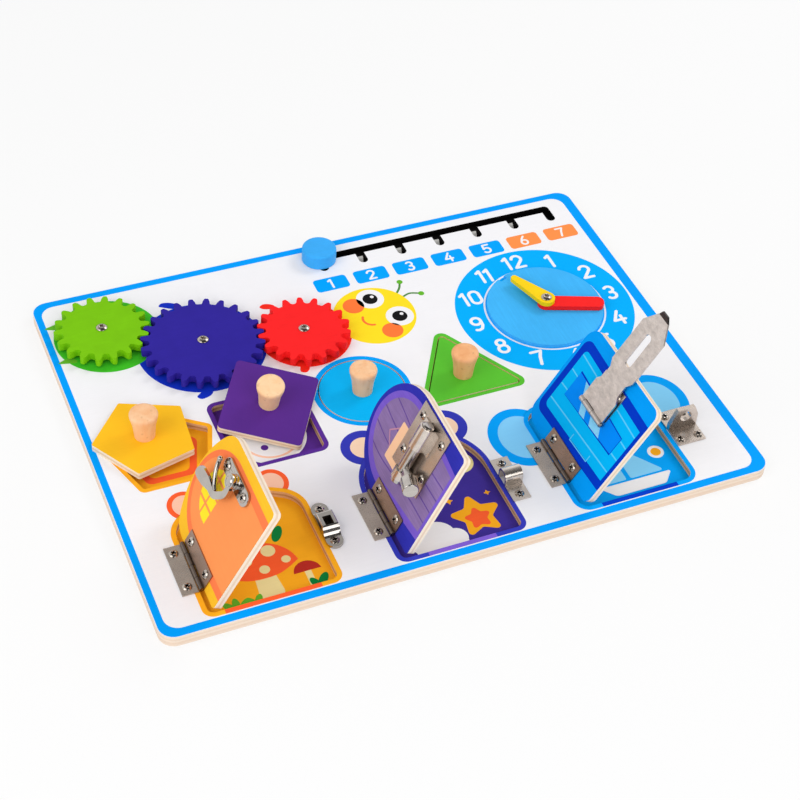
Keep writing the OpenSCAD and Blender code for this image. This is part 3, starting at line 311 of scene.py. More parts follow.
def rounded(points, radii, n=7):
    """Polygon with its corners rounded; radii is one number or one for each corner."""
    if not isinstance(radii, (list, tuple)):
        radii = [radii] * len(points)
    out = []
    for i, p in enumerate(points):
        r = radii[i]
        if r <= 0:
            out.append(p)
            continue
        p, a, b = Vector(p), Vector(points[i - 1]), Vector(points[(i + 1) % len(points)])
        u, v = (a - p).normalized(), (b - p).normalized()
        half = u.angle(v) / 2
        back = min(r / math.tan(half), 0.5 * (a - p).length, 0.5 * (b - p).length)
        q = p + (u + v).normalized() * (back / math.cos(half))
        start, end = p + u * back, p + v * back
        a0 = math.atan2(start.y - q.y, start.x - q.x)
        a1 = math.atan2(end.y - q.y, end.x - q.x)
        while a1 - a0 > math.pi:
            a1 -= 2 * math.pi
        while a1 - a0 < -math.pi:
            a1 += 2 * math.pi
        rr = (start - q).length
        for k in range(n + 1):
            t = a0 + (a1 - a0) * k / n
            out.append((q.x + rr * math.cos(t), q.y + rr * math.sin(t)))
    return out


def rect(x0, x1, y0, y1, r=0.0):
    return rounded([(x0, y0), (x1, y0), (x1, y1), (x0, y1)], r)


def square(c, half, r):
    return rect(c[0] - half, c[0] + half, c[1] - half, c[1] + half, r)


def ngon(c, n, apothem, r):
    """Regular polygon with one corner at the back."""
    corner = apothem / math.cos(math.pi / n)
    return rounded([polar(c, corner, 90.0 + 360 / n * k) for k in range(n)], r, 10)


def star(c, r0, r1, soft, n=5):
    """Star with n points at r0 and n notches at r1, one point at the back."""
    radii = [(r0, r1)[k % 2] for k in range(2 * n)]
    return rounded([polar(c, r, 90 + 180 / n * k) for k, r in enumerate(radii)], soft, 5)


def shifted(loops, dx):
    return [[(p[0] + dx, p[1]) for p in loop] for loop in loops]


def smooth(points, closed=False, n=8):
    """Catmull-Rom curve through the points."""
    m = len(points)
    out = []
    for i in range(m if closed else m - 1):
        near = [i + k for k in (-1, 0, 1, 2)]
        p = [Vector(points[j % m if closed else min(max(j, 0), m - 1)]) for j in near]
        for k in range(n):
            t = k / n
            q = 0.5 * (
                2 * p[1]
                + (p[2] - p[0]) * t
                + (2 * p[0] - 5 * p[1] + 4 * p[2] - p[3]) * t * t
                + (3 * p[1] - p[0] - 3 * p[2] + p[3]) * t**3
            )
            out.append((q.x, q.y))
    if not closed:
        out.append(tuple(points[-1]))
    return out


def stroke(path, w):
    """Round-ended band of width w along a path, as one polygon."""
    path = [Vector(p) for p in path]
    left, right = [], []
    last = len(path) - 1
    h = w / 2
    for i, p in enumerate(path):
        d = (path[min(i + 1, last)] - path[max(i - 1, 0)]).normalized()
        left.append((p.x - d.y * h, p.y + d.x * h))
        right.append((p.x + d.y * h, p.y - d.x * h))
    d0 = math.degrees(math.atan2(*(path[1] - path[0]).yx))
    d1 = math.degrees(math.atan2(*(path[-1] - path[-2]).yx))
    end = arc(path[-1], h, d1 - 90, d1 + 90, 10)[1:-1]
    start = arc(path[0], h, d0 + 90, d0 + 270, 10)[1:-1]
    return right + end + left[::-1] + start


def door_outline(i, c):
    """Door i, or its recess, inset by c."""
    x, side, rise, r, rf, _, _ = DOORS[i]
    a, rise, r, rf = HALF - c, rise - c, max(r - c, 0.4), max(rf - c, 0.4)
    y0, y1 = FRONT_Y + c, FRONT_Y + side
    pts = arc((x - a + rf, y0 + rf), rf, 180, 270, 8) + arc((x + a - rf, y0 + rf), rf, 270, 360, 8)
    if rise > r + 0.01:
        big = ((a - r) ** 2 + rise * rise - r * r) / (2 * (rise - r))
        foot = y1 + rise - big
        side_dir = math.degrees(math.atan2(y1 - foot, a - r))
        pts += arc((x + a - r, y1), r, 0, side_dir, 14)
        pts += arc((x, foot), big, side_dir, 180 - side_dir, 26)[1:-1]
        pts += arc((x - a + r, y1), r, 180 - side_dir, 180, 14)
    else:
        pts += arc((x + a - r, y1), r, 0, 90, 24)
        pts += arc((x - a + r, y1), r, 90, 180, 24)
    return pts


def area(loop):
    return 0.5 * sum(
        loop[i - 1][0] * loop[i][1] - loop[i][0] * loop[i - 1][1] for i in range(len(loop))
    )


def region(include, exclude, clip=()):
    """Union of include, less exclude, inside every clip loop, as points and triangles."""
    verts, faces = [], []
    for loop in [*include, *exclude, *clip]:
        loop = list(loop) if area(loop) > 0 else list(loop)[::-1]
        base = len(verts)
        verts += [Vector((p[0], p[1])) for p in loop]
        faces.append(list(range(base, base + len(loop))))
    n_in, n_out = len(include), len(include) + len(exclude)
    v, _, f, _, _, origin = delaunay_2d_cdt(verts, [], faces, 1, 1e-4, True)
    keep = []
    for tri, source in zip(f, origin):
        inside = any(s < n_in for s in source)
        cut = any(n_in <= s < n_out for s in source)
        if inside and not cut and all(k in source for k in range(n_out, len(faces))):
            keep.append(tri)
    used = sorted({i for t in keep for i in t})
    where = {i: k for k, i in enumerate(used)}
    return [(v[i][0], v[i][1]) for i in used], [[where[i] for i in t] for t in keep]


def add_piece(name, mesh, body):
    ob = bpy.data.objects.new(name, mesh)
    bpy.context.scene.collection.objects.link(ob)
    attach(ob, body)
    return ob


def ink(name, body, mat, layer, include, exclude, clip=(), place=FLAT, base=TOP):
    """Printed area, a thin closed slab; layer 1 lies on the wood, 2 on layer 1 and so on."""
    flat, tris = region(include, exclude, clip)
    n = len(flat)
    pts = [(x, y, z) for z in (base + layer * INK, base) for x, y in flat]
    faces, edges = [], {}
    for t in tris:
        faces += [t, [i + n for i in reversed(t)]]
        for a, b in zip(t, t[1:] + t[:1]):
            edges[(a, b)] = True
    for a, b in edges:
        if (b, a) not in edges:
            faces.append([b, a, a + n, b + n])
    mesh = bpy.data.meshes.new(name)
    mesh.from_pydata([place @ Vector(p) for p in pts], [], faces)
    mesh.validate()
    mesh.update()
    mesh.materials.append(mat)
    add_piece(name, mesh, body)


def board_ink(name, mat, layer, include, exclude=()):
    ink(name, "board", mat, layer, include, exclude)


def bowl(c, r):
    """Closed round of a digit, as two strokes."""
    return [arc(c, r, -5, 180, 14), arc(c, r, 180, 365, 14)]


# strokes of plain digits, in a box one unit high and about 0.6 wide
DIGITS = {
    "0": [
        arc((0, 0.2), 0.25, 0, 180, 14),
        arc((0, -0.2), 0.25, 180, 360, 14),
        [(-0.25, 0.2), (-0.25, -0.2)],
        [(0.25, 0.2), (0.25, -0.2)],
    ],
    "1": [[(-0.16, 0.3), (0.03, 0.44)], [(0.03, 0.44), (0.03, -0.44)]],
    "2": [
        arc((0, 0.2), 0.25, 165, -35, 14),
        [(0.205, 0.057), (-0.24, -0.44)],
        [(-0.24, -0.44), (0.27, -0.44)],
    ],
    "3": [arc((-0.02, 0.22), 0.225, 140, -90, 14), arc((-0.02, -0.215), 0.235, 90, -145, 14)],
    "4": [
        [(0.1, 0.46), (-0.28, -0.17)],
        [(-0.28, -0.17), (0.3, -0.17)],
        [(0.14, 0.1), (0.14, -0.45)],
    ],
    "5": [
        [(0.24, 0.44), (-0.18, 0.44)],
        [(-0.18, 0.44), (-0.22, 0.02)],
        arc((-0.01, -0.17), 0.27, 140, -145, 16),
    ],
    "6": bowl((0.0, -0.2), 0.245) + [[(0.12, 0.46), (-0.06, 0.24), (-0.2, -0.03)]],
    "7": [[(-0.26, 0.44), (0.27, 0.44)], [(0.27, 0.44), (0.08, 0.05), (-0.06, -0.44)]],
    "8": bowl((0, 0.235), 0.205) + bowl((0, -0.21), 0.25),
    "9": bowl((0.0, 0.2), 0.245)
    + [[(0.245, 0.18), (0.22, -0.16), (0.1, -0.38), (-0.08, -0.44), (-0.2, -0.4)]],
}


def number(text, c, h, w):
    """Stroke outlines of a plain number centred on c, h high, its strokes w wide."""
    widths = [0.42 if ch == "1" else 0.72 for ch in text]
    x = -sum(widths) / 2
    loops = []
    for ch, wd in zip(text, widths):
        for path in DIGITS[ch]:
            pts = [(c[0] + (x + wd / 2 + p[0]) * h, c[1] + p[1] * h) for p in path]
            loops.append(stroke(pts, w))
        x += wd
    return loops


# ------------------------------------------------------------------ finishes

WHITE = printed("print_white", (244, 243, 246), show=0.03, rough=0.36, bump=0.06, spec=0.14)
BORDER = printed("print_border_blue", (0, 160, 255))
GREEN_PRINT = printed("print_green", (68, 194, 42), show=0.10)
BLUE_PRINT = printed("print_blue", (22, 52, 196), show=0.10)
RED_PRINT = printed("print_red", (255, 48, 34), show=0.08)
YELLOW_PRINT = printed("print_yellow", (255, 226, 38), show=0.05)
CHEEK = printed("print_cheek", (255, 124, 60), show=0.05)
BLACK_PRINT = printed("print_black", (24, 24, 26), show=0.1)
SPROUT = printed("print_sprout", (104, 184, 48), show=0.08)
STALK = printed("print_stalk", (84, 140, 66), show=0.08)
LABEL_BLUE = printed("print_label_blue", (0, 165, 255), show=0.05)
LABEL_ORANGE = printed("print_label_orange", (255, 148, 78), show=0.05)
CLOCK_BLUE = printed("print_clock", (0, 176, 255), show=0.05)
AMBER = printed("print_amber", (255, 176, 34), show=0.08)
ORANGE = printed("print_orange", (255, 98, 50), show=0.07)
PEACH = printed("print_peach", (255, 200, 172))
PALE_PEACH = printed("print_pale_peach", (255, 218, 188))
INDIGO = printed("print_indigo", (56, 62, 186), show=0.10)
SKY = printed("print_sky", (0, 165, 255), show=0.07)
PALE_SKY = printed("print_pale_sky", (136, 213, 255), show=0.05)
VIOLET = printed("print_violet", (92, 48, 150), show=0.10)
LIME = printed("print_lime", (92, 196, 54), show=0.09)
CREAM = printed("print_cream", (240, 224, 160))
WINE = printed("print_wine", (186, 48, 38), show=0.08)
LEAF = printed("print_leaf", (14, 132, 62), show=0.08)
FRAME_BLUE = printed("print_frame_blue", (0, 62, 204), show=0.08)
LILAC = printed("print_lilac", (128, 96, 212), show=0.09)
NIGHT = printed("print_night", (66, 50, 152), show=0.12)

# ------------------------------------------------------------------ board prints

outline = rect(-199.7, 199.7, -149.7, 149.7, 9.7)
field = rect(-195.2, 192.3, -144.2, 144.4, 9)
board_ink("border_print", BORDER, 1, [outline], [field])

GREEN_C, BLUE_C, RED_C, HEAD_C = (-159.6, 104.8), (-104.6, 74.4), (-36.4, 63.9), (15.1, 66.6)
green_disc, blue_disc = circle(GREEN_C, 34.75), circle(BLUE_C, 42.75)
red_disc, head_disc = circle(RED_C, 31.5), circle(HEAD_C, 28.3)


def foot(points):
    return smooth(points, closed=True, n=6)


blue_feet = [
    foot([(-119.5, 122), (-117, 124.4), (-112, 123.5), (-108, 120.5), (-108, 116), (-112, 117),
          (-117, 120)]),
    foot([(-121.6, 30.4), (-119, 27.8), (-113.5, 29), (-110.5, 32), (-110, 37), (-115, 35.5),
          (-119.5, 32.8)]),
]
red_feet = [
    foot([(-55.8, 99.4), (-53, 101.5), (-49, 100.6), (-46, 98), (-46, 94), (-50, 95.5),
          (-54, 96.8)]),
    foot([(-51, 31), (-48, 29.2), (-44.8, 31.5), (-44, 36), (-47, 38), (-50, 35)]),
]
spikes = [
    rounded([(-197.6, 124.2), (-187.5, 127), (-186, 119.5)], [0.6, 1.5, 1.5]),
    rounded([(-197.6, 89.2), (-187, 93.5), (-183, 85.5)], [0.6, 1.5, 1.5]),
]
board_ink("blue_body_print", BLUE_PRINT, 1, [blue_disc, *blue_feet], [green_disc, red_disc])
board_ink("green_body_print", GREEN_PRINT, 2, [green_disc])
board_ink("green_spike_print", SPROUT, 3, spikes)
board_ink("red_body_print", RED_PRINT, 1, [red_disc, *red_feet], [head_disc])
board_ink("head_print", YELLOW_PRINT, 1, [head_disc])
eyes = [(18.2, 83.2), (31.0, 60.6)]
glints = [circle((x + 1.9, y + 1.6), 1.3, 32) for x, y in eyes]
board_ink("eye_white_print", WHITE, 2, [circle(e, 9.6) for e in eyes])
board_ink("pupil_print", BLACK_PRINT, 3, [circle(e, 5.2) for e in eyes])
board_ink("eye_glint_print", WHITE, 4, glints)
board_ink("cheek_print", CHEEK, 2, [circle((4.8, 80.0), 7.4), circle((21.0, 48.8), 7.2)])
board_ink("smile_print", CHEEK, 2, [stroke(arc((12.2, 64.2), 6.4, 150, 265, 16), 1.7)])
antennae = [
    stroke(smooth([(38.2, 83.4), (41.6, 87.5), (44.0, 92.6)]), 1.5),
    stroke(smooth([(41.0, 78.4), (46.5, 80.0), (53.4, 77.6)]), 1.5),
]
board_ink("antenna_print", STALK, 1, antennae, [head_disc])
antenna_tips = [circle((44.2, 93.2), 2.1, 32), circle((53.8, 77.4), 2.1, 32)]
board_ink("antenna_tip_print", SPROUT, 2, antenna_tips)

board_ink("clock_ring_print", CLOCK_BLUE, 1, [circle(CLOCK_AT, 62.2, 144)])
line_out, line_in = circle(CLOCK_AT, 42.4, 128), circle(CLOCK_AT, 41.1, 128)
board_ink("clock_line_print", WHITE, 2, [line_out], [line_in])
hours = []
for k in range(1, 13):
    c = polar(CLOCK_AT, NUMERAL_R, 90 - 30 * k)
    hours += number(str(k), c, NUMERAL_H, NUMERAL_W)
board_ink("clock_numeral_print", WHITE, 2, hours)

labels = [(DAY_X[0] + DAY_PITCH * k, DAY_X[1] + DAY_PITCH * k) for k in range(7)]
plates = [rect(a, b, *DAY_Y, 2.6) for a, b in labels]
board_ink("day_label_print", LABEL_BLUE, 1, plates[:5])
board_ink("rest_day_label_print", LABEL_ORANGE, 1, plates[5:])
days = []
for k, (a, b) in enumerate(labels):
    days += number(str(k + 1), ((a + b) / 2, DAY_MID), DAY_H, DAY_W)
board_ink("day_number_print", WHITE, 2, days)

# printed margins of the four puzzle recesses
PENTA = ngon(PENTA_AT, 5, 27.7, 2)
SQUARE = square(SQUARE_AT, 28.5, 3.6)
ROUND = circle(ROUND_AT, 28.9, 128)
TRI = ngon(TRI_AT, 3, 20.3, 3)
board_ink("pentagon_margin_print", AMBER, 1, [ngon(PENTA_AT, 5, 30.6, 4.5)], [PENTA])
board_ink("square_margin_print", VIOLET, 1, [square(SQUARE_AT, 31.5, 6.5)], [SQUARE])
board_ink("round_margin_print", SKY, 1, [circle(ROUND_AT, 32.4, 128)], [ROUND])
board_ink("triangle_margin_print", LIME, 1, [ngon(TRI_AT, 3, 23.2, 5.5)], [TRI])

# ears beside the door recesses, under the printed margins of the recesses
for i, (mat_out, mat_in, dx, y, out_r, in_r) in enumerate(
    [
        (ORANGE, PEACH, 27.7, -56.0, (10.6, 11.6), (7.4, 8.4)),
        (INDIGO, PALE_PEACH, 27.4, -47.0, (15.0, 15.0), (8.9, 8.9)),
        (SKY, PALE_SKY, 48.2, -72.0, (22.0, 25.8), (15.4, 19.0)),
    ]
):
    cx = DOORS[i][0]
    ears = [(cx - dx, y), (cx + dx, y)]
    cut = [door_outline(i, -EAR_CUT)]
    board_ink(f"door{i + 1}_ear_print", mat_out, 1, [ellipse(e, *out_r) for e in ears], cut)
    board_ink(f"door{i + 1}_ear_inner_print", mat_in, 2, [ellipse(e, *in_r) for e in ears], cut)

recesses = [door_outline(i, 0) for i in range(3)]
for i, mat in enumerate((AMBER, INDIGO, SKY)):
    margin = door_outline(i, -DOOR_MARGIN)
    board_ink(f"door{i + 1}_margin_print", mat, 1, [margin], [recesses[i]])
for i, (mat, u0, u1) in enumerate([(ORANGE, 8, 67), (LILAC, 15, 59.5), (FRAME_BLUE, 12, 65)]):
    sill = rect(HINGE_X[i] + u0, HINGE_X[i] + u1, -143.4, FRONT_Y)
    board_ink(f"door{i + 1}_sill_print", mat, 2, [sill])

# ------------------------------------------------------------------ prints in the recesses


def floor(name, mat, layer, include, clip=(), exclude=()):
    ink(name, "board", mat, layer, include, exclude, clip, base=FLOOR)


for name, mat, layer, edge in (
    ("recess1", AMBER, 1, recesses[0]), ("recess2", NIGHT, 1, recesses[1]),
    ("recess3", SKY, 1, recesses[2]), ("pentagon", AMBER, 0.5, PENTA),
    ("square", VIOLET, 0.5, SQUARE), ("round", SKY, 0.5, ROUND), ("triangle", LIME, 0.5, TRI),
):
    floor(name + "_ground_print", mat, layer, [edge])

# toadstools and leaves behind door 1
r1 = recesses[:1]
cap = arc((-129, -118), 23, 8, 172, 24)
cap += smooth([(-151.8, -114.8), (-140, -121), (-129, -122.5), (-118, -121), (-106.2, -114.8)])
stem = rounded([(-135, -118), (-123, -118), (-121, -138), (-137, -138)], [0.1, 0.1, 4, 4])
floor("recess1_stem_print", CREAM, 2, [stem], r1)
floor("recess1_cap_print", ORANGE, 3, [cap], r1)
dots = (((-136, -107), 3.6), ((-121, -103), 4.4), ((-127.5, -116), 3.2), ((-113, -112.5), 2.8))
floor("recess1_dots_print", CREAM, 4, [circle(c, r, 32) for c, r in dots], r1)
floor("recess1_small_stem_print", CREAM, 2, [rect(-106, -102, -137, -124, 1.5)], r1)
floor("recess1_small_cap_print", WINE, 3, [arc((-104, -126), 8.5, 5, 175, 16)], r1)
leaves = [
    ellipse((-97.5, -134.5), 2.6, 5.6, -38), ellipse((-102.5, -136), 2.4, 5.2, 24),
    ellipse((-111.5, -92), 3.0, 6.5, -30),
]
floor("recess1_leaf_print", LEAF, 4, leaves, r1)
blades = (
    ((-155.5, -136.5), 38), ((-151.5, -136.0), 0), ((-147, -137), -42), ((-142, -137.5), 30),
    ((-138.5, -137.2), -26),
)
floor("recess1_grass_print", SPROUT, 4, [ellipse(c, 2.3, 5.4, t) for c, t in blades], r1)

# night sky behind door 2
r2 = recesses[1:2]
floor("recess2_star_print", AMBER, 2, [star((8.5, -119.5), 19, 9.6, 2.2)], r2)
floor("recess2_star_core_print", ORANGE, 3, [star((8.5, -121.5), 10.2, 5.4, 1.6)], r2)
stars = (((-3.5, -103), 3.0), ((22, -104), 2.4), ((-17, -108), 2.2), ((-31, -106), 2.6))
stars = [star(c, r, r * 0.45, 0.2, n=4) for c, r in stars]
floor("recess2_small_star_print", AMBER, 2, stars, r2)
cloud = [
    circle((-31, -131), 8.2), circle((-20.5, -126.5), 11), circle((-10.5, -131.5), 7.4),
    rect(-38, -4, -139.2, -131, 4),
]
floor("recess2_cloud_print", WHITE, 2, cloud, r2)
floor("recess2_moon_print", CREAM, 2, [circle((16, -75), 9)], r2, [circle((12, -71.5), 8.4)])

# boat on the water behind door 3
r3 = recesses[2:]
sails = [
    rounded([(113, -124), (113, -92), (137, -124)], 1.4),
    rounded([(110, -124), (110, -99), (95, -124)], 1.2),
]
hull = rounded([(90, -125.6), (141, -125.6), (133, -134.8), (98, -134.8)], [1, 1, 4, 4])
floor("recess3_sail_print", PALE_SKY, 2, sails, r3)
floor("recess3_hull_print", WHITE, 3, [hull], r3)
floor("recess3_water_print", FRAME_BLUE, 4, [rect(70, 150, -141, -137.4)], r3)
floor("recess3_sun_print", WHITE, 2, [circle((139, -108.5), 5.4, 48)], r3)
floor("recess3_sun_core_print", AMBER, 3, [circle((139, -108.5), 3.4, 48)], r3)

# big button on the square floor, ring on the pentagon floor
holes = [
    circle((BUTTON_AT[0] + sx * 6.2, BUTTON_AT[1] + sy * 6.2 - 2), 2.4, 32)
    for sx in (-1, 1) for sy in (-1, 1)
]
ring_out, ring_in = circle(BUTTON_AT, 19), circle(BUTTON_AT, 17.4)
floor("square_button_print", WHITE, 0.75, [circle(BUTTON_AT, 23.5)], [SQUARE], holes)
floor("square_button_ring_print", PEACH, 1, [ring_out], [SQUARE], [ring_in])
ring_out, ring_in = ngon(PENTA_AT, 5, 21, 5), ngon(PENTA_AT, 5, 16.5, 4)
floor("pentagon_ring_print", ORANGE, 0.75, [ring_out], [PENTA], [ring_in])

# ------------------------------------------------------------------ door prints


def door_ink(i, name, mat, layer, include, exclude=(), within=()):
    """Print on door i, closed; x of its loops is counted from the hinge."""
    body = f"door{i + 1}"
    clip = [door_outline(i, PRINT_INSET)]
    include, exclude, within = (shifted(loops, HINGE_X[i]) for loops in (include, exclude, within))
    ink(f"{body}_{name}_print", body, mat, layer, include, exclude, clip + within, swing(i))


FACE_RGB = ((255, 195, 46), (52, 54, 184), (0, 160, 255))
FACE1 = printed("print_door1_face", FACE_RGB[0], GRAIN_Y, show=0.10)
ARCH1 = printed("print_door1_arch", (255, 128, 76), GRAIN_Y, show=0.07)
ARCH1_IN = printed("print_door1_panel", (255, 152, 86), GRAIN_Y)
PANE1 = printed("print_door1_pane", (255, 230, 46), GRAIN_Y, show=0.05)
FACE2 = printed("print_door2_face", FACE_RGB[1], GRAIN_Y, show=0.2)
ARCH2 = printed("print_door2_arch", (128, 98, 216), GRAIN_Y, show=0.2)
ARCH2_IN = printed("print_door2_panel", (150, 125, 182), GRAIN_Y, show=0.3)
PLANK2 = printed("print_door2_plank", (108, 82, 160), GRAIN_Y, show=0.10)
PLATE2 = printed("print_door2_plate", (255, 208, 168), GRAIN_Y, show=0.05)
CORD2 = printed("print_door2_cord", (200, 146, 170), GRAIN_Y, show=0.05)
FACE3 = printed("print_door3_face", FACE_RGB[2], GRAIN_Y, show=0.08)
FRAME3 = printed("print_door3_frame", (0, 58, 202), GRAIN_Y, show=0.10)
PANEL3 = printed("print_door3_panel", (0, 186, 255), GRAIN_Y, show=0.07)
LINE3 = printed("print_door3_line", (96, 208, 255), GRAIN_Y, show=0.05)
PANE3 = printed("print_door3_pane", (0, 142, 255), GRAIN_Y, show=0.07)
GLARE3 = printed("print_door3_glare", (138, 216, 255), GRAIN_Y, show=0.05)


def everything(i):
    """The whole face of door i, its x counted from the hinge."""
    return shifted([door_outline(i, PRINT_INSET)], -HINGE_X[i])


def arch(left, right, bottom, foot_in, spring, top):
    """Arch outline: its feet stand foot_in further in than its sides at the springing line."""
    mid, half = (left + right) / 2, (right - left) / 2
    pts = [(left + foot_in, bottom), (right - foot_in, bottom)]
    pts += [
        (mid + half * math.cos(t), spring + (top - spring) * math.sin(t))
        for t in (math.pi * k / 40 for k in range(41))
    ]
    return pts


door_ink(0, "face", FACE1, 1, everything(0))
door_ink(0, "arch", ARCH1, 2, [arch(6.5, 70, -142, 0.5, -92, -58.6)])
door_ink(0, "panel", ARCH1_IN, 3, [arch(11, 65, -142, 1.5, -92, -62)])
pane = arch(22, 57, -91, 0, -88, -71.2)
bars = [
    rect(29.6, 31.4, -93, -70), rect(48.0, 49.8, -93, -70), rect(20, 60, -82.9, -81.3),
    rect(38.8, 40.4, -93, -70),
]
door_ink(0, "pane", PANE1, 4, [pane], bars)

door_ink(1, "face", FACE2, 1, everything(1))
door_ink(1, "arch", ARCH2, 2, [arch(6.6, 70.6, -142, 6.5, -84, -49.6)])
panel2 = arch(11.8, 66.4, -136.4, 5.5, -84, -54.2)
door_ink(1, "panel", ARCH2_IN, 3, [panel2])
planks = []
for top_u, foot_u in ((20.5, 24), (31.5, 32.5), (43.5, 41.5), (55.5, 50.5)):
    curve = [(top_u + 3, -50), (top_u, -74), (foot_u, -110), (foot_u + 0.6, -137)]
    planks.append(stroke(smooth(curve), 0.9))
door_ink(1, "plank", PLANK2, 4, planks, within=[panel2])
cord = [stroke([(30.2, -77.6), (38.2, -69.6)], 0.9), stroke([(38.2, -69.6), (46.6, -77.6)], 0.9)]
door_ink(1, "cord", CORD2, 5, cord)
door_ink(1, "plate", PLATE2, 6, [rect(24, 51.6, -91.2, -77, 1.0)])

door_ink(2, "face", FACE3, 1, everything(2))
frame3 = [(12.5, -142), (65.3, -142), (68.3, -56.2), (9, -56.2)]
panel3 = [(18.2, -136), (59.2, -136), (61.8, -61.2), (15.4, -61.2)]
door_ink(2, "frame", FRAME3, 2, [rounded(frame3, [0.1, 0.1, 6.5, 6.5])])
door_ink(2, "panel", PANEL3, 3, [rounded(panel3, [0.4, 0.4, 3.4, 3.4])])
lines = [
    ([(22, -62), (25.2, -135.4)], 0.9),
    ([(34.0, -62), (34.3, -69)], 0.9),
    ([(35.0, -129.4), (35.2, -135.4)], 0.9),
    ([(45.8, -62), (45.6, -69)], 0.9),
    ([(44.9, -129.4), (44.7, -135.4)], 0.9),
    ([(57.8, -62), (54.0, -135.4)], 0.9),
    ([(20.4, -96.2), (15.9, -96.2)], 0.7),
    ([(16.0, -96.2), (16.9, -117.4)], 0.7),
    ([(16.9, -117.4), (21.4, -117.4)], 0.7),
]
door_ink(2, "line", LINE3, 4, [stroke(ends, w) for ends, w in lines])
pane_edge3 = [(30.8, -69.4), (50.6, -69.4), (46.8, -128.6), (32.8, -128.6)]
pane3 = [(31.0, -69.4), (49.4, -69.4), (46.2, -128.2), (33.8, -128.2)]
glare3 = [
    [(30, -90), (30, -96.5), (52, -82), (52, -75.5)],
    [(30, -103), (30, -116), (52, -99.5), (52, -88.5)],
]
door_ink(2, "pane_edge", FRAME3, 5, [pane_edge3])
door_ink(2, "pane", PANE3, 6, [pane3])
door_ink(2, "glare", GLARE3, 7, glare3, within=[pane3])

# ------------------------------------------------------------------ finishes of the solid pieces


def painted(name, rgb, rough=0.5, spec=0.06):
    """Sprayed paint on wood: soft mottling, orange peel and a trace of the grain."""
    show = 0.06
    m = Mat(name, rough=rough, spec=spec)
    c = srgb(*rgb)
    cloud = m.noise(m.space(), 0.09, 4.0, 0.55)
    grain = m.noise(m.space((0.08, 1, 1)), 0.9, 4.0, 0.6, 0.3)
    peel = m.noise(m.space(), 2.2, 3.0, 0.55)
    tone = m.fade(cloud, 0.3, 0.7, shade(c, 1 - show), shade(c, 1 + 0.5 * show))
    m.out("Base Color", m.fade(grain, 0.5, 0.72, tone, shade(c, 1 - 1.6 * show), 0.6))
    m.out("Roughness", m.spread(peel, 0.3, 0.7, rough - 0.06, rough + 0.1))
    m.bump(m.math("ADD", peel, m.math("MULTIPLY", grain, 0.8)), 0.08, 0.12)
    return m.m


def door_axis(i):
    """Direction that door i's face looks in at rest, and how far its back and face lie along it."""
    a = math.radians(DOORS[i][5])
    n = (-math.sin(a), 0.0, math.cos(a))
    base = -HINGE_X[i] * math.sin(a) + AXIS_Z * math.cos(a)
    return n, base + TOP - AXIS_Z - DOOR_T, base + TOP - AXIS_Z


THREE_PLY = ((0.0, 0.05), (0.31, 0.10), (0.36, 0.85), (0.60, 0.75), (0.66, 0.12), (1.0, 0.0))
BOARD_PLY = (
    (0.0, 0.25), (0.12, 0.1), (0.20, 0.75), (0.33, 0.6), (0.37, 0.95), (0.42, 0.15),
    (0.58, 0.1), (0.63, 0.7), (0.76, 0.6), (0.81, 0.05), (1.0, 0.0),
)
BOARD_EDGE = ply(
    "board_edge_ply", (0, 0, 1), 0, TOP, BOARD_PLY, light=(240, 224, 208), dark=(228, 202, 182)
)
WALL_EDGE = ply(
    "recess_wall_ply", (0, 0, 1), FLOOR, TOP, THREE_PLY, light=(232, 194, 150), dark=(176, 126, 86)
)
BACK = bare_wood("back_bare_wood", (232, 205, 168))
TILE_UNDER = bare_wood("tile_underside", (236, 210, 174))
SLOT_BLACK = painted("slot_black", (13, 11, 11), rough=0.6, spec=0.05)
# pale paint of the lit wedges in the stops: painted light
PAINTED_LIGHT = painted("slot_painted_light", (214, 212, 208), rough=0.6)
FLAT_TILE_EDGE = ply("tile_edge_ply", (0, 0, 1), FLOOR, FLOOR + TILE_T, THREE_PLY)
RAISED_TILE_EDGE = ply("raised_tile_edge_ply", (0, 0, 1), TOP, TOP + TILE_T, THREE_PLY)


def faces(node, mats, rule):
    """Gives node its finishes; rule(centre, normal), centre in mm, picks one for each face."""
    mesh = NODES[node].data
    mesh.materials.clear()
    for m in mats:
        mesh.materials.append(m)
    for p in mesh.polygons:
        p.material_index = rule(tuple(v / MM for v in p.center), p.normal)


def finish(names, mat):
    for n in names.split():
        faces(n, [mat], lambda c, nrm: 0)


def plywood_piece(node, face, edge, n):
    """Finishes of a door or tile whose face looks along n: face, sawn edge and bare back."""
    n = Vector(n)

    def rule(c, nrm):
        d = nrm.dot(n)
        return 0 if d > 0.9 else (2 if d < -0.9 else 1)

    faces(node, [face, edge, TILE_UNDER], rule)


def top_rule(c, nrm):
    """0 upper face, 1 outer edge, 2 recess walls, 3 the slider's slot and channel."""
    if nrm.z > 0.9 and c[2] > TOP - 0.1:
        return 0
    if abs(c[0]) > 188.5 and abs(nrm.z) < 0.5 or abs(c[1]) > 149.9:
        return 1
    return 3 if c[1] > 117 else 2


faces("top_panel", [WHITE, BOARD_EDGE, WALL_EDGE, SLOT_BLACK], top_rule)
faces("back_panel", [BACK, BOARD_EDGE], lambda c, nrm: 1 if abs(nrm.z) < 0.5 else 0)
# black floor of the slot; in the stops, round the pale wedges, it is painted shade
floor("slot_ground_print", SLOT_BLACK, 1, [rect(*SLOT)])
floor("slot_painted_light_print", PAINTED_LIGHT, 2, [rounded(shifted([LIT_WEDGE], x)[0], 0.4) for x in STOP_X[1:6]])


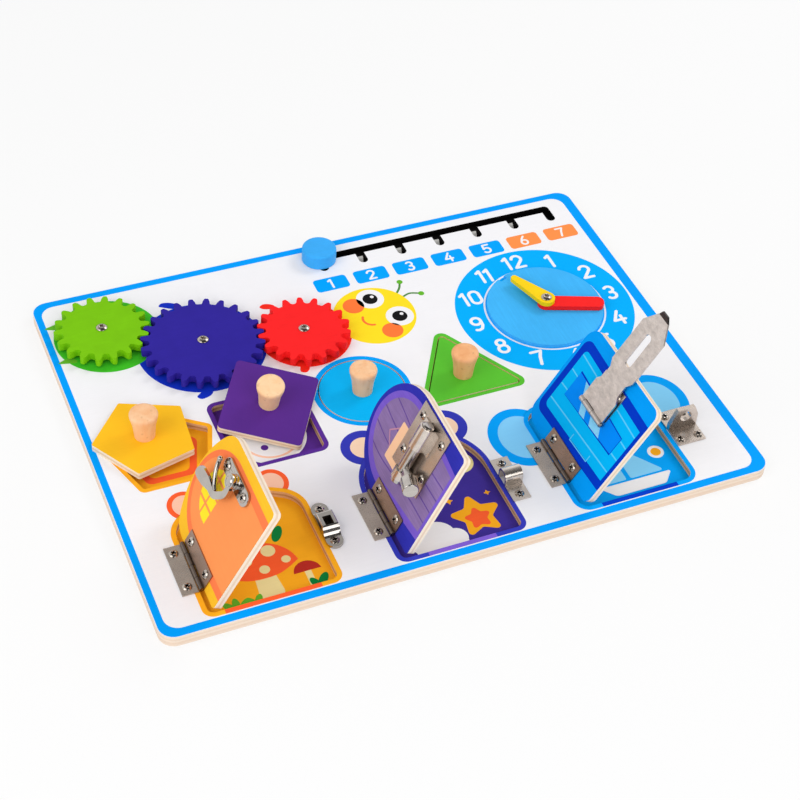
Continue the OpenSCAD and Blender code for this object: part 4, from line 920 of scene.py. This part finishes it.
def peg_wood(name, dark, light, axis_turn=(0, 0, 0)):
    """Turned wood, its grain along the peg, with a few darker knots."""
    m = Mat(name, rough=0.5, spec=0.25)
    dark, light = srgb(*dark), srgb(*light)
    v = m.space((1, 1, 0.06), axis_turn)
    long = m.noise(v, 0.16, 3.0, 0.5, 0.6)
    fine = m.noise(v, 1.6, 3.0, 0.6)
    knots = m.noise(m.space(), 0.28, 2.0, 0.5)
    tone = m.fade(long, 0.3, 0.7, dark, light)
    tone = m.fade(fine, 0.5, 0.8, tone, shade(dark, 0.8), 0.12)
    m.out("Base Color", m.fade(knots, 0.62, 0.74, tone, shade(dark, 0.72), 0.55))
    m.bump(fine, 0.03, 0.1)
    return m.m


finish("pentagon_peg round_peg", peg_wood("peg_wood", (244, 184, 134), (250, 204, 160)))
finish("triangle_peg", peg_wood("amber_peg_wood", (236, 164, 108), (246, 186, 132)))
leaning_wood = peg_wood("leaning_peg_wood", (248, 200, 150), (253, 216, 172), (-SQUARE_LEAN, 0, 0))
finish("square_peg", leaning_wood)

# the square tile leans: its face looks along lean_n and passes through y 3.4, z 15.76
lean_n = (0.0, -math.sin(SQUARE_LEAN), math.cos(SQUARE_LEAN))
lean_top = -3.4 * math.sin(SQUARE_LEAN) + 15.76 * math.cos(SQUARE_LEAN)
LEAN_EDGE = ply("leaning_tile_edge_ply", lean_n, lean_top - TILE_T, lean_top, THREE_PLY)
for node, rgb, grain, edge, n in (
    ("pentagon_tile", (255, 194, 34), GRAIN_X, RAISED_TILE_EDGE, (0, 0, 1)),
    ("square_tile", (90, 46, 142), GRAIN_Y, LEAN_EDGE, lean_n),
    ("round_tile", (0, 186, 255), GRAIN_X, FLAT_TILE_EDGE, (0, 0, 1)),
    ("triangle_tile", (92, 196, 52), GRAIN_X, FLAT_TILE_EDGE, (0, 0, 1)),
):
    plywood_piece(node, printed("print_" + node, rgb, grain, rough=0.4, spec=0.06), edge, n)

for i in range(3):
    n, low, high = door_axis(i)
    sides = {"light": (248, 234, 216), "dark": (228, 200, 174)}
    edge = ply(f"door{i + 1}_edge_ply", n, low, high, THREE_PLY, **sides)
    rim = printed(f"door{i + 1}_rim", FACE_RGB[i], GRAIN_Y, show=0.1)
    plywood_piece(f"door{i + 1}_panel", rim, edge, n)

finish("green_gear", painted("gear_green", (122, 196, 14)))
finish("blue_gear", painted("gear_blue", (48, 36, 152)))
finish("red_gear", painted("gear_red", (255, 36, 38)))
finish("slider_knob", painted("knob_blue", (58, 172, 248), rough=0.42, spec=0.12))
disc = printed("disc_blue", (66, 184, 254), (1.0, 0.05, 1.0), show=0.13, bump=0.14, spec=0.06)
finish("clock_disc", disc)
finish("minute_hand", painted("hand_red", (252, 30, 30), rough=0.4, spec=0.12))
finish("hour_hand", painted("hand_yellow", (255, 214, 10), rough=0.4, spec=0.12))
finish("slider_carrier", painted("carrier_grey", (60, 60, 62)))

LEAF_STEEL = steel("hinge_steel", (196, 182, 170), 0.30)
DOOR_LEAF_STEEL = steel("door_hinge_steel", (162, 136, 118), 0.30)
# darker steel on the hinge knuckles: painted shade
KNUCKLE_SHADE_STEEL = steel("knuckle_painted_shade", (118, 106, 98), 0.2)
PIN_STEEL = steel("pin_steel", (150, 140, 132), 0.28)
KEEPER_STEEL = steel("keeper_steel", (218, 208, 199), 0.24, scratch=0.12)
# dark steel for the strap's bent tip: painted shade
TIP_SHADE_STEEL = steel("hasp_tip_shade", (76, 72, 70), 0.35)
CHROME = steel("latch_chrome", (188, 182, 176), 0.08, scratch=0.3)
SHADOWED = steel("shadowed_steel", (104, 96, 88), 0.4)
BRIGHT = steel("screw_chrome", (186, 176, 166), 0.2)
# dark finishes of the screws' cross recesses: painted shade, paler on the gear and clock screws
CROSS_SHADE = steel("screw_cross_shade", (24, 21, 20), 0.5)
SOFT_CROSS_SHADE = steel("soft_screw_cross_shade", (170, 156, 142), 0.5)
DULL = steel(
    "hasp_steel", (214, 203, 196), 0.33, scratch=1.2, stretch=(1, 0.5, 1), patch=(0.76, 1.08),
    cloud=0.36,
)
STAPLE_STEEL = steel("staple_steel", (218, 205, 194), 0.27, scratch=0.12)
ROD = steel("bolt_steel", (196, 190, 184), 0.2, stretch=(0.1, 1, 1))
# faces near each hinge axis get the knuckles' painted shade
KNUCKLE_R = 1.9
for i in range(3):
    for side, leaf in (("board", LEAF_STEEL), ("door", DOOR_LEAF_STEEL)):
        faces(
            f"door{i + 1}_{side}_leaf",
            [leaf, KNUCKLE_SHADE_STEEL],
            lambda c, nrm, x=HINGE_X[i]: int(math.hypot(c[0] - x, c[2] - AXIS_Z) < KNUCKLE_R),
        )
finish("door1_hinge_pin door2_hinge_pin door3_hinge_pin hasp_pin", PIN_STEEL)
finish("sash_base sash_rivet sash_lever", CHROME)
finish("bolt_plate", LEAF_STEEL)
finish("bolt_guides bolt_keeper", KEEPER_STEEL)
finish("bolt_rod bolt_knob", ROD)
finish("hasp_leaf", DULL)
finish("hasp_staple", STAPLE_STEEL)
# the strap's bent tip, past HASP_BEND, gets painted shade
faces(
    "hasp_strap",
    [DULL, TIP_SHADE_STEEL],
    lambda c, nrm: int(math.hypot(c[0] - HASP_AXIS[0], c[2] - HASP_AXIS[1]) > HASP_BEND),
)
finish("gear_washers clock_washer slider_stem", BRIGHT)

KEEPER_AT = (HINGE_X[0] + 85.4, -101.0)


def keeper_rule(c, nrm):
    """1 inside the keeper's saddle, which lies in shadow; 0 elsewhere."""
    x, y, z = c[0] - KEEPER_AT[0], c[1] - KEEPER_AT[1], c[2] - TOP
    outward = abs(x) > 4 and nrm.x * x > 0
    return 1 if abs(x) < 5.2 and -5.1 < y < 5 and 1.9 < z < 7.7 and not outward else 0


faces("sash_keeper", [CHROME, SHADOWED], keeper_rule)


def bevel(node, width):
    """Breaks the sharp edges of a node."""
    ob = NODES[node]
    weld = ob.modifiers.new("weld", "WELD")
    weld.merge_threshold = 0.0005 * MM
    m = ob.modifiers.new("bevel", "BEVEL")
    m.width = width * MM
    m.segments = 3
    m.limit_method = "ANGLE"
    m.angle_limit = math.radians(35)


for node in ("sash_lever", "sash_base", "sash_keeper"):
    bevel(node, 0.35)
for shape in ("pentagon", "square", "round", "triangle"):
    bevel(shape + "_peg", 0.9)

# ------------------------------------------------------------------ screws


def screw_shape(R, H, shank_r, shank_l, reach):
    """Pan head with a cross recess and a plain shank, in mm, its seat at z = 0.

    Each face has a flag, 0 steel or 1 recess, whose dark finish is painted shade; reach is the
    recess's arm as a share of R.
    """
    arm, half = reach * R, 0.16 * R
    plus = [(arm, -half), (arm, half), (half, half), (half, arm), (-half, arm), (-half, half)]
    plus += [(-x, -y) for x, y in plus]
    # the crown's height is carried by rings of points
    rings = [circle((0, 0), R * k, 32) for k in (1.0, 0.96, 0.9, 0.82, 0.72, 0.62)]
    flat, faces = region(rings, [rounded(plus, 0.07 * R, 2)])
    pts = [(x, y, H * (0.16 + 0.84 * (1 - min(math.hypot(x, y) / R, 1.0) ** 2.6))) for x, y in flat]
    flags = [0] * len(faces)
    edges = set()
    for t in faces:
        edges.update(zip(t, t[1:] + t[:1]))
    rim, mouth = {}, {}
    for a, b in edges:
        if (b, a) not in edges:
            (rim if math.hypot(*pts[a][:2]) > 0.9 * R else mouth)[a] = b

    def wall(chain, move, flag):
        """Carries an open edge on to moved copies of its points; returns the new edge."""
        new = {}
        for a in chain:
            new[a] = len(pts)
            pts.append(move(pts[a]))
        for a, b in chain.items():
            faces.append([b, a, new[a], new[b]])
            flags.append(flag)
        return {new[a]: new[b] for a, b in chain.items()}

    def cap(chain, flag):
        start = next(iter(chain))
        ring, k = [start], chain[start]
        while k != start:
            ring.append(k)
            k = chain[k]
        faces.append(ring[::-1])
        flags.append(flag)

    cap(wall(mouth, lambda p: (0.78 * p[0], 0.78 * p[1], 0.34 * H), 1), 1)
    k = shank_r / R
    edge = wall(rim, lambda p: (p[0], p[1], 0.0), 0)
    edge = wall(edge, lambda p: (k * p[0], k * p[1], 0.0), 0)
    cap(wall(edge, lambda p: (p[0], p[1], -shank_l), 0), 0)
    return pts, faces, flags


# how far each screw is turned, drawn in the order of the calls
TURNS = random.Random(11)


def screws(node, body, groups, R=3.0, H=1.3, shank_r=1.2, recess=CROSS_SHADE, reach=0.54):
    """One piece for all screws of a node.

    Groups are a frame, the seats in it and how far the shank goes below a seat, in mm.
    R and H are the head's radius and height.
    """
    pts, faces, flags = [], [], []
    for place, seats, length in groups:
        for seat in seats:
            p, f, g = screw_shape(R, H, shank_r, length, reach)
            turn = Matrix.Rotation(TURNS.uniform(0, math.pi / 2), 4, "Z")
            m = place @ Matrix.Translation(seat) @ turn
            base = len(pts)
            pts += [m @ Vector(q) for q in p]
            faces += [[k + base for k in q] for q in f]
            flags += g
    mesh = bpy.data.meshes.new(node + "_cross")
    mesh.from_pydata(pts, [], faces)
    mesh.update()
    mesh.materials.append(BRIGHT)
    mesh.materials.append(recess)
    for p, g in zip(mesh.polygons, flags):
        p.material_index = g
        p.use_smooth = g == 0 and p.loop_total == 3
    ob = add_piece(node + "_cross", mesh, body)
    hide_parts(node)


ON_LEAF, ON_PLATE, ON_BASE = TOP + 0.9, TOP + 1, TOP + 2  # seat heights


def pair(x, y, dy, z):
    return [(x, y - dy, z), (x, y + dy, z)]


def hinge_seats(i, side):
    return pair(HINGE_X[i] + 7 * side, DOORS[i][6], 13.25, ON_LEAF)


GEARS_AT = (polar(GEAR_MID, GEAR_D, 151), GEAR_MID, polar(GEAR_MID, GEAR_D, -9.5))
SASH_AT = (HINGE_X[0] + 62, -97.4)
BOLT_AT = (HINGE_X[1] + 29.5, -103.0)
HASP_AT = (HINGE_X[2] + 41.5, -98.0)
STAPLE_X = HINGE_X[2] + 81.4
AXLE = dict(R=3.7, H=1.6, shank_r=2.0, recess=SOFT_CROSS_SHADE, reach=0.42)
screws("gear_screws", "board", [(FLAT, [(x, y, 15.9) for x, y in GEARS_AT], 11.9)], **AXLE)
screws("clock_screw", "board", [(FLAT, [(*CLOCK_AT, 17.9)], 13.9)], **AXLE)
board_leaf_seats = [s for i in range(3) for s in hinge_seats(i, -1)]
screws("board_hinge_screws", "board", [(FLAT, board_leaf_seats, 4.9)])
bolt_keeper_seats = pair(HINGE_X[1] + 86.5, BOLT_AT[1], 13.55, ON_PLATE)
staple_seats = [s for dx in (3.4, 16.6) for s in pair(STAPLE_X + dx, HASP_AT[1], 10.6, ON_PLATE)]
screws("keeper_screws", "board", [
    (FLAT, pair(*KEEPER_AT, 13.2, ON_BASE), 6.0),
    (FLAT, bolt_keeper_seats, 5.0),
    (FLAT, staple_seats, 5.0),
])
latch_seats = [
    pair(*SASH_AT, 13.2, ON_BASE),
    [s for dx in (11.5, 38.2) for s in pair(BOLT_AT[0] + dx, BOLT_AT[1], 13.55, ON_PLATE)],
    [s for dx in (9.5, 19) for s in pair(HASP_AT[0] + dx, HASP_AT[1], 8.5, ON_PLATE)],
]
for i, length in enumerate((6.0, 5.0, 5.0)):
    place = swing(i)
    groups = [(place, hinge_seats(i, 1), 4.9), (place, latch_seats[i], length)]
    screws(f"door{i + 1}_screws", f"door{i + 1}", groups)

# ------------------------------------------------------------------ studio


FLOOR_HALF = 3.0  # metres
PAPER, GLOW = 0.86, 0.72  # the paper's white, and the share of glow in it where it is seen


def stage_floor():
    """White paper that glows to the camera, in mirrors and through glass."""
    half = FLOOR_HALF
    mesh = bpy.data.meshes.new("stage_floor")
    corners = [(-half, -half, 0), (half, -half, 0), (half, half, 0), (-half, half, 0)]
    mesh.from_pydata(corners, [], [(0, 1, 2, 3)])
    ob = bpy.data.objects.new("stage_floor", mesh)
    bpy.context.scene.collection.objects.link(ob)
    m = bpy.data.materials.new("stage_white")
    m.use_nodes = True
    t = m.node_tree
    t.nodes.clear()
    rays = add_node(t, "LightPath").outputs
    seen = calc(t, "MAXIMUM", rays["Is Camera Ray"], rays["Is Glossy Ray"])
    seen = calc(t, "MAXIMUM", seen, rays["Is Transmission Ray"])
    share = calc(t, "MULTIPLY", seen, GLOW)
    paper = add_node(t, "BsdfDiffuse", {0: grey(PAPER)}).outputs[0]
    glow = add_node(t, "Emission", {0: grey(1)}).outputs[0]
    both = add_node(t, "MixShader", {0: share, 1: paper, 2: glow}).outputs[0]
    add_node(t, "OutputMaterial", {0: both})
    mesh.materials.append(m)


def lamp(name, place, aim, size, power):
    """Round lamp; place, aim and size in metres, power in watts."""
    data = bpy.data.lights.new(name, "AREA")
    data.shape = "DISK"
    data.size = size
    data.energy = power
    ob = bpy.data.objects.new(name, data)
    bpy.context.scene.collection.objects.link(ob)
    ob.location = place
    ob.rotation_euler = (Vector(aim) - Vector(place)).to_track_quat("-Z", "Y").to_euler()


stage_floor()
lamp("key", (1.25, 0.35, 1.2), (0, 0, 0), 0.6, 6.4)
lamp("fill", (-1.25, -0.5, 1.0), (0, 0, 0.05), 1.3, 9.5)
lamp("front", (0.2, -1.4, 0.8), (0, 0, 0.05), 1.0, 6.0)

SKY_LEVEL = 0.65  # light on the part
ROOM_LEVEL = 0.1  # what mirrors see of the room in front and overhead
world = bpy.data.worlds.new("studio")
bpy.context.scene.world = world
world.use_nodes = True
wt = world.node_tree
sky = wt.nodes["Background"]
sky.inputs[0].default_value = grey(1)

# white to the camera and through glass; plated metal sees the white backdrop and the dim room
rays = add_node(wt, "LightPath").outputs
generated = add_node(wt, "TexCoord").outputs["Generated"]
heading = add_node(wt, "SeparateXYZ", {0: generated}).outputs
smooth_step = {"interpolation_type": "SMOOTHSTEP"}
front = spread(wt, heading["Y"], -0.5, 0.1, ROOM_LEVEL, 1.0, **smooth_step)
above = spread(wt, heading["Z"], 0.5, 1.0, 1.0, ROOM_LEVEL, **smooth_step)
mirrored = calc(wt, "MULTIPLY", rays["Is Glossy Ray"], calc(wt, "MULTIPLY", front, above))
lit = calc(wt, "ADD", mirrored, spread(wt, rays["Is Glossy Ray"], 0, 1, SKY_LEVEL, 0.0))
seen = calc(wt, "MAXIMUM", rays["Is Camera Ray"], rays["Is Transmission Ray"])
plug(wt, sky.inputs[1], calc(wt, "MAXIMUM", lit, seen))

bpy.context.scene.view_settings.view_transform = "Standard"
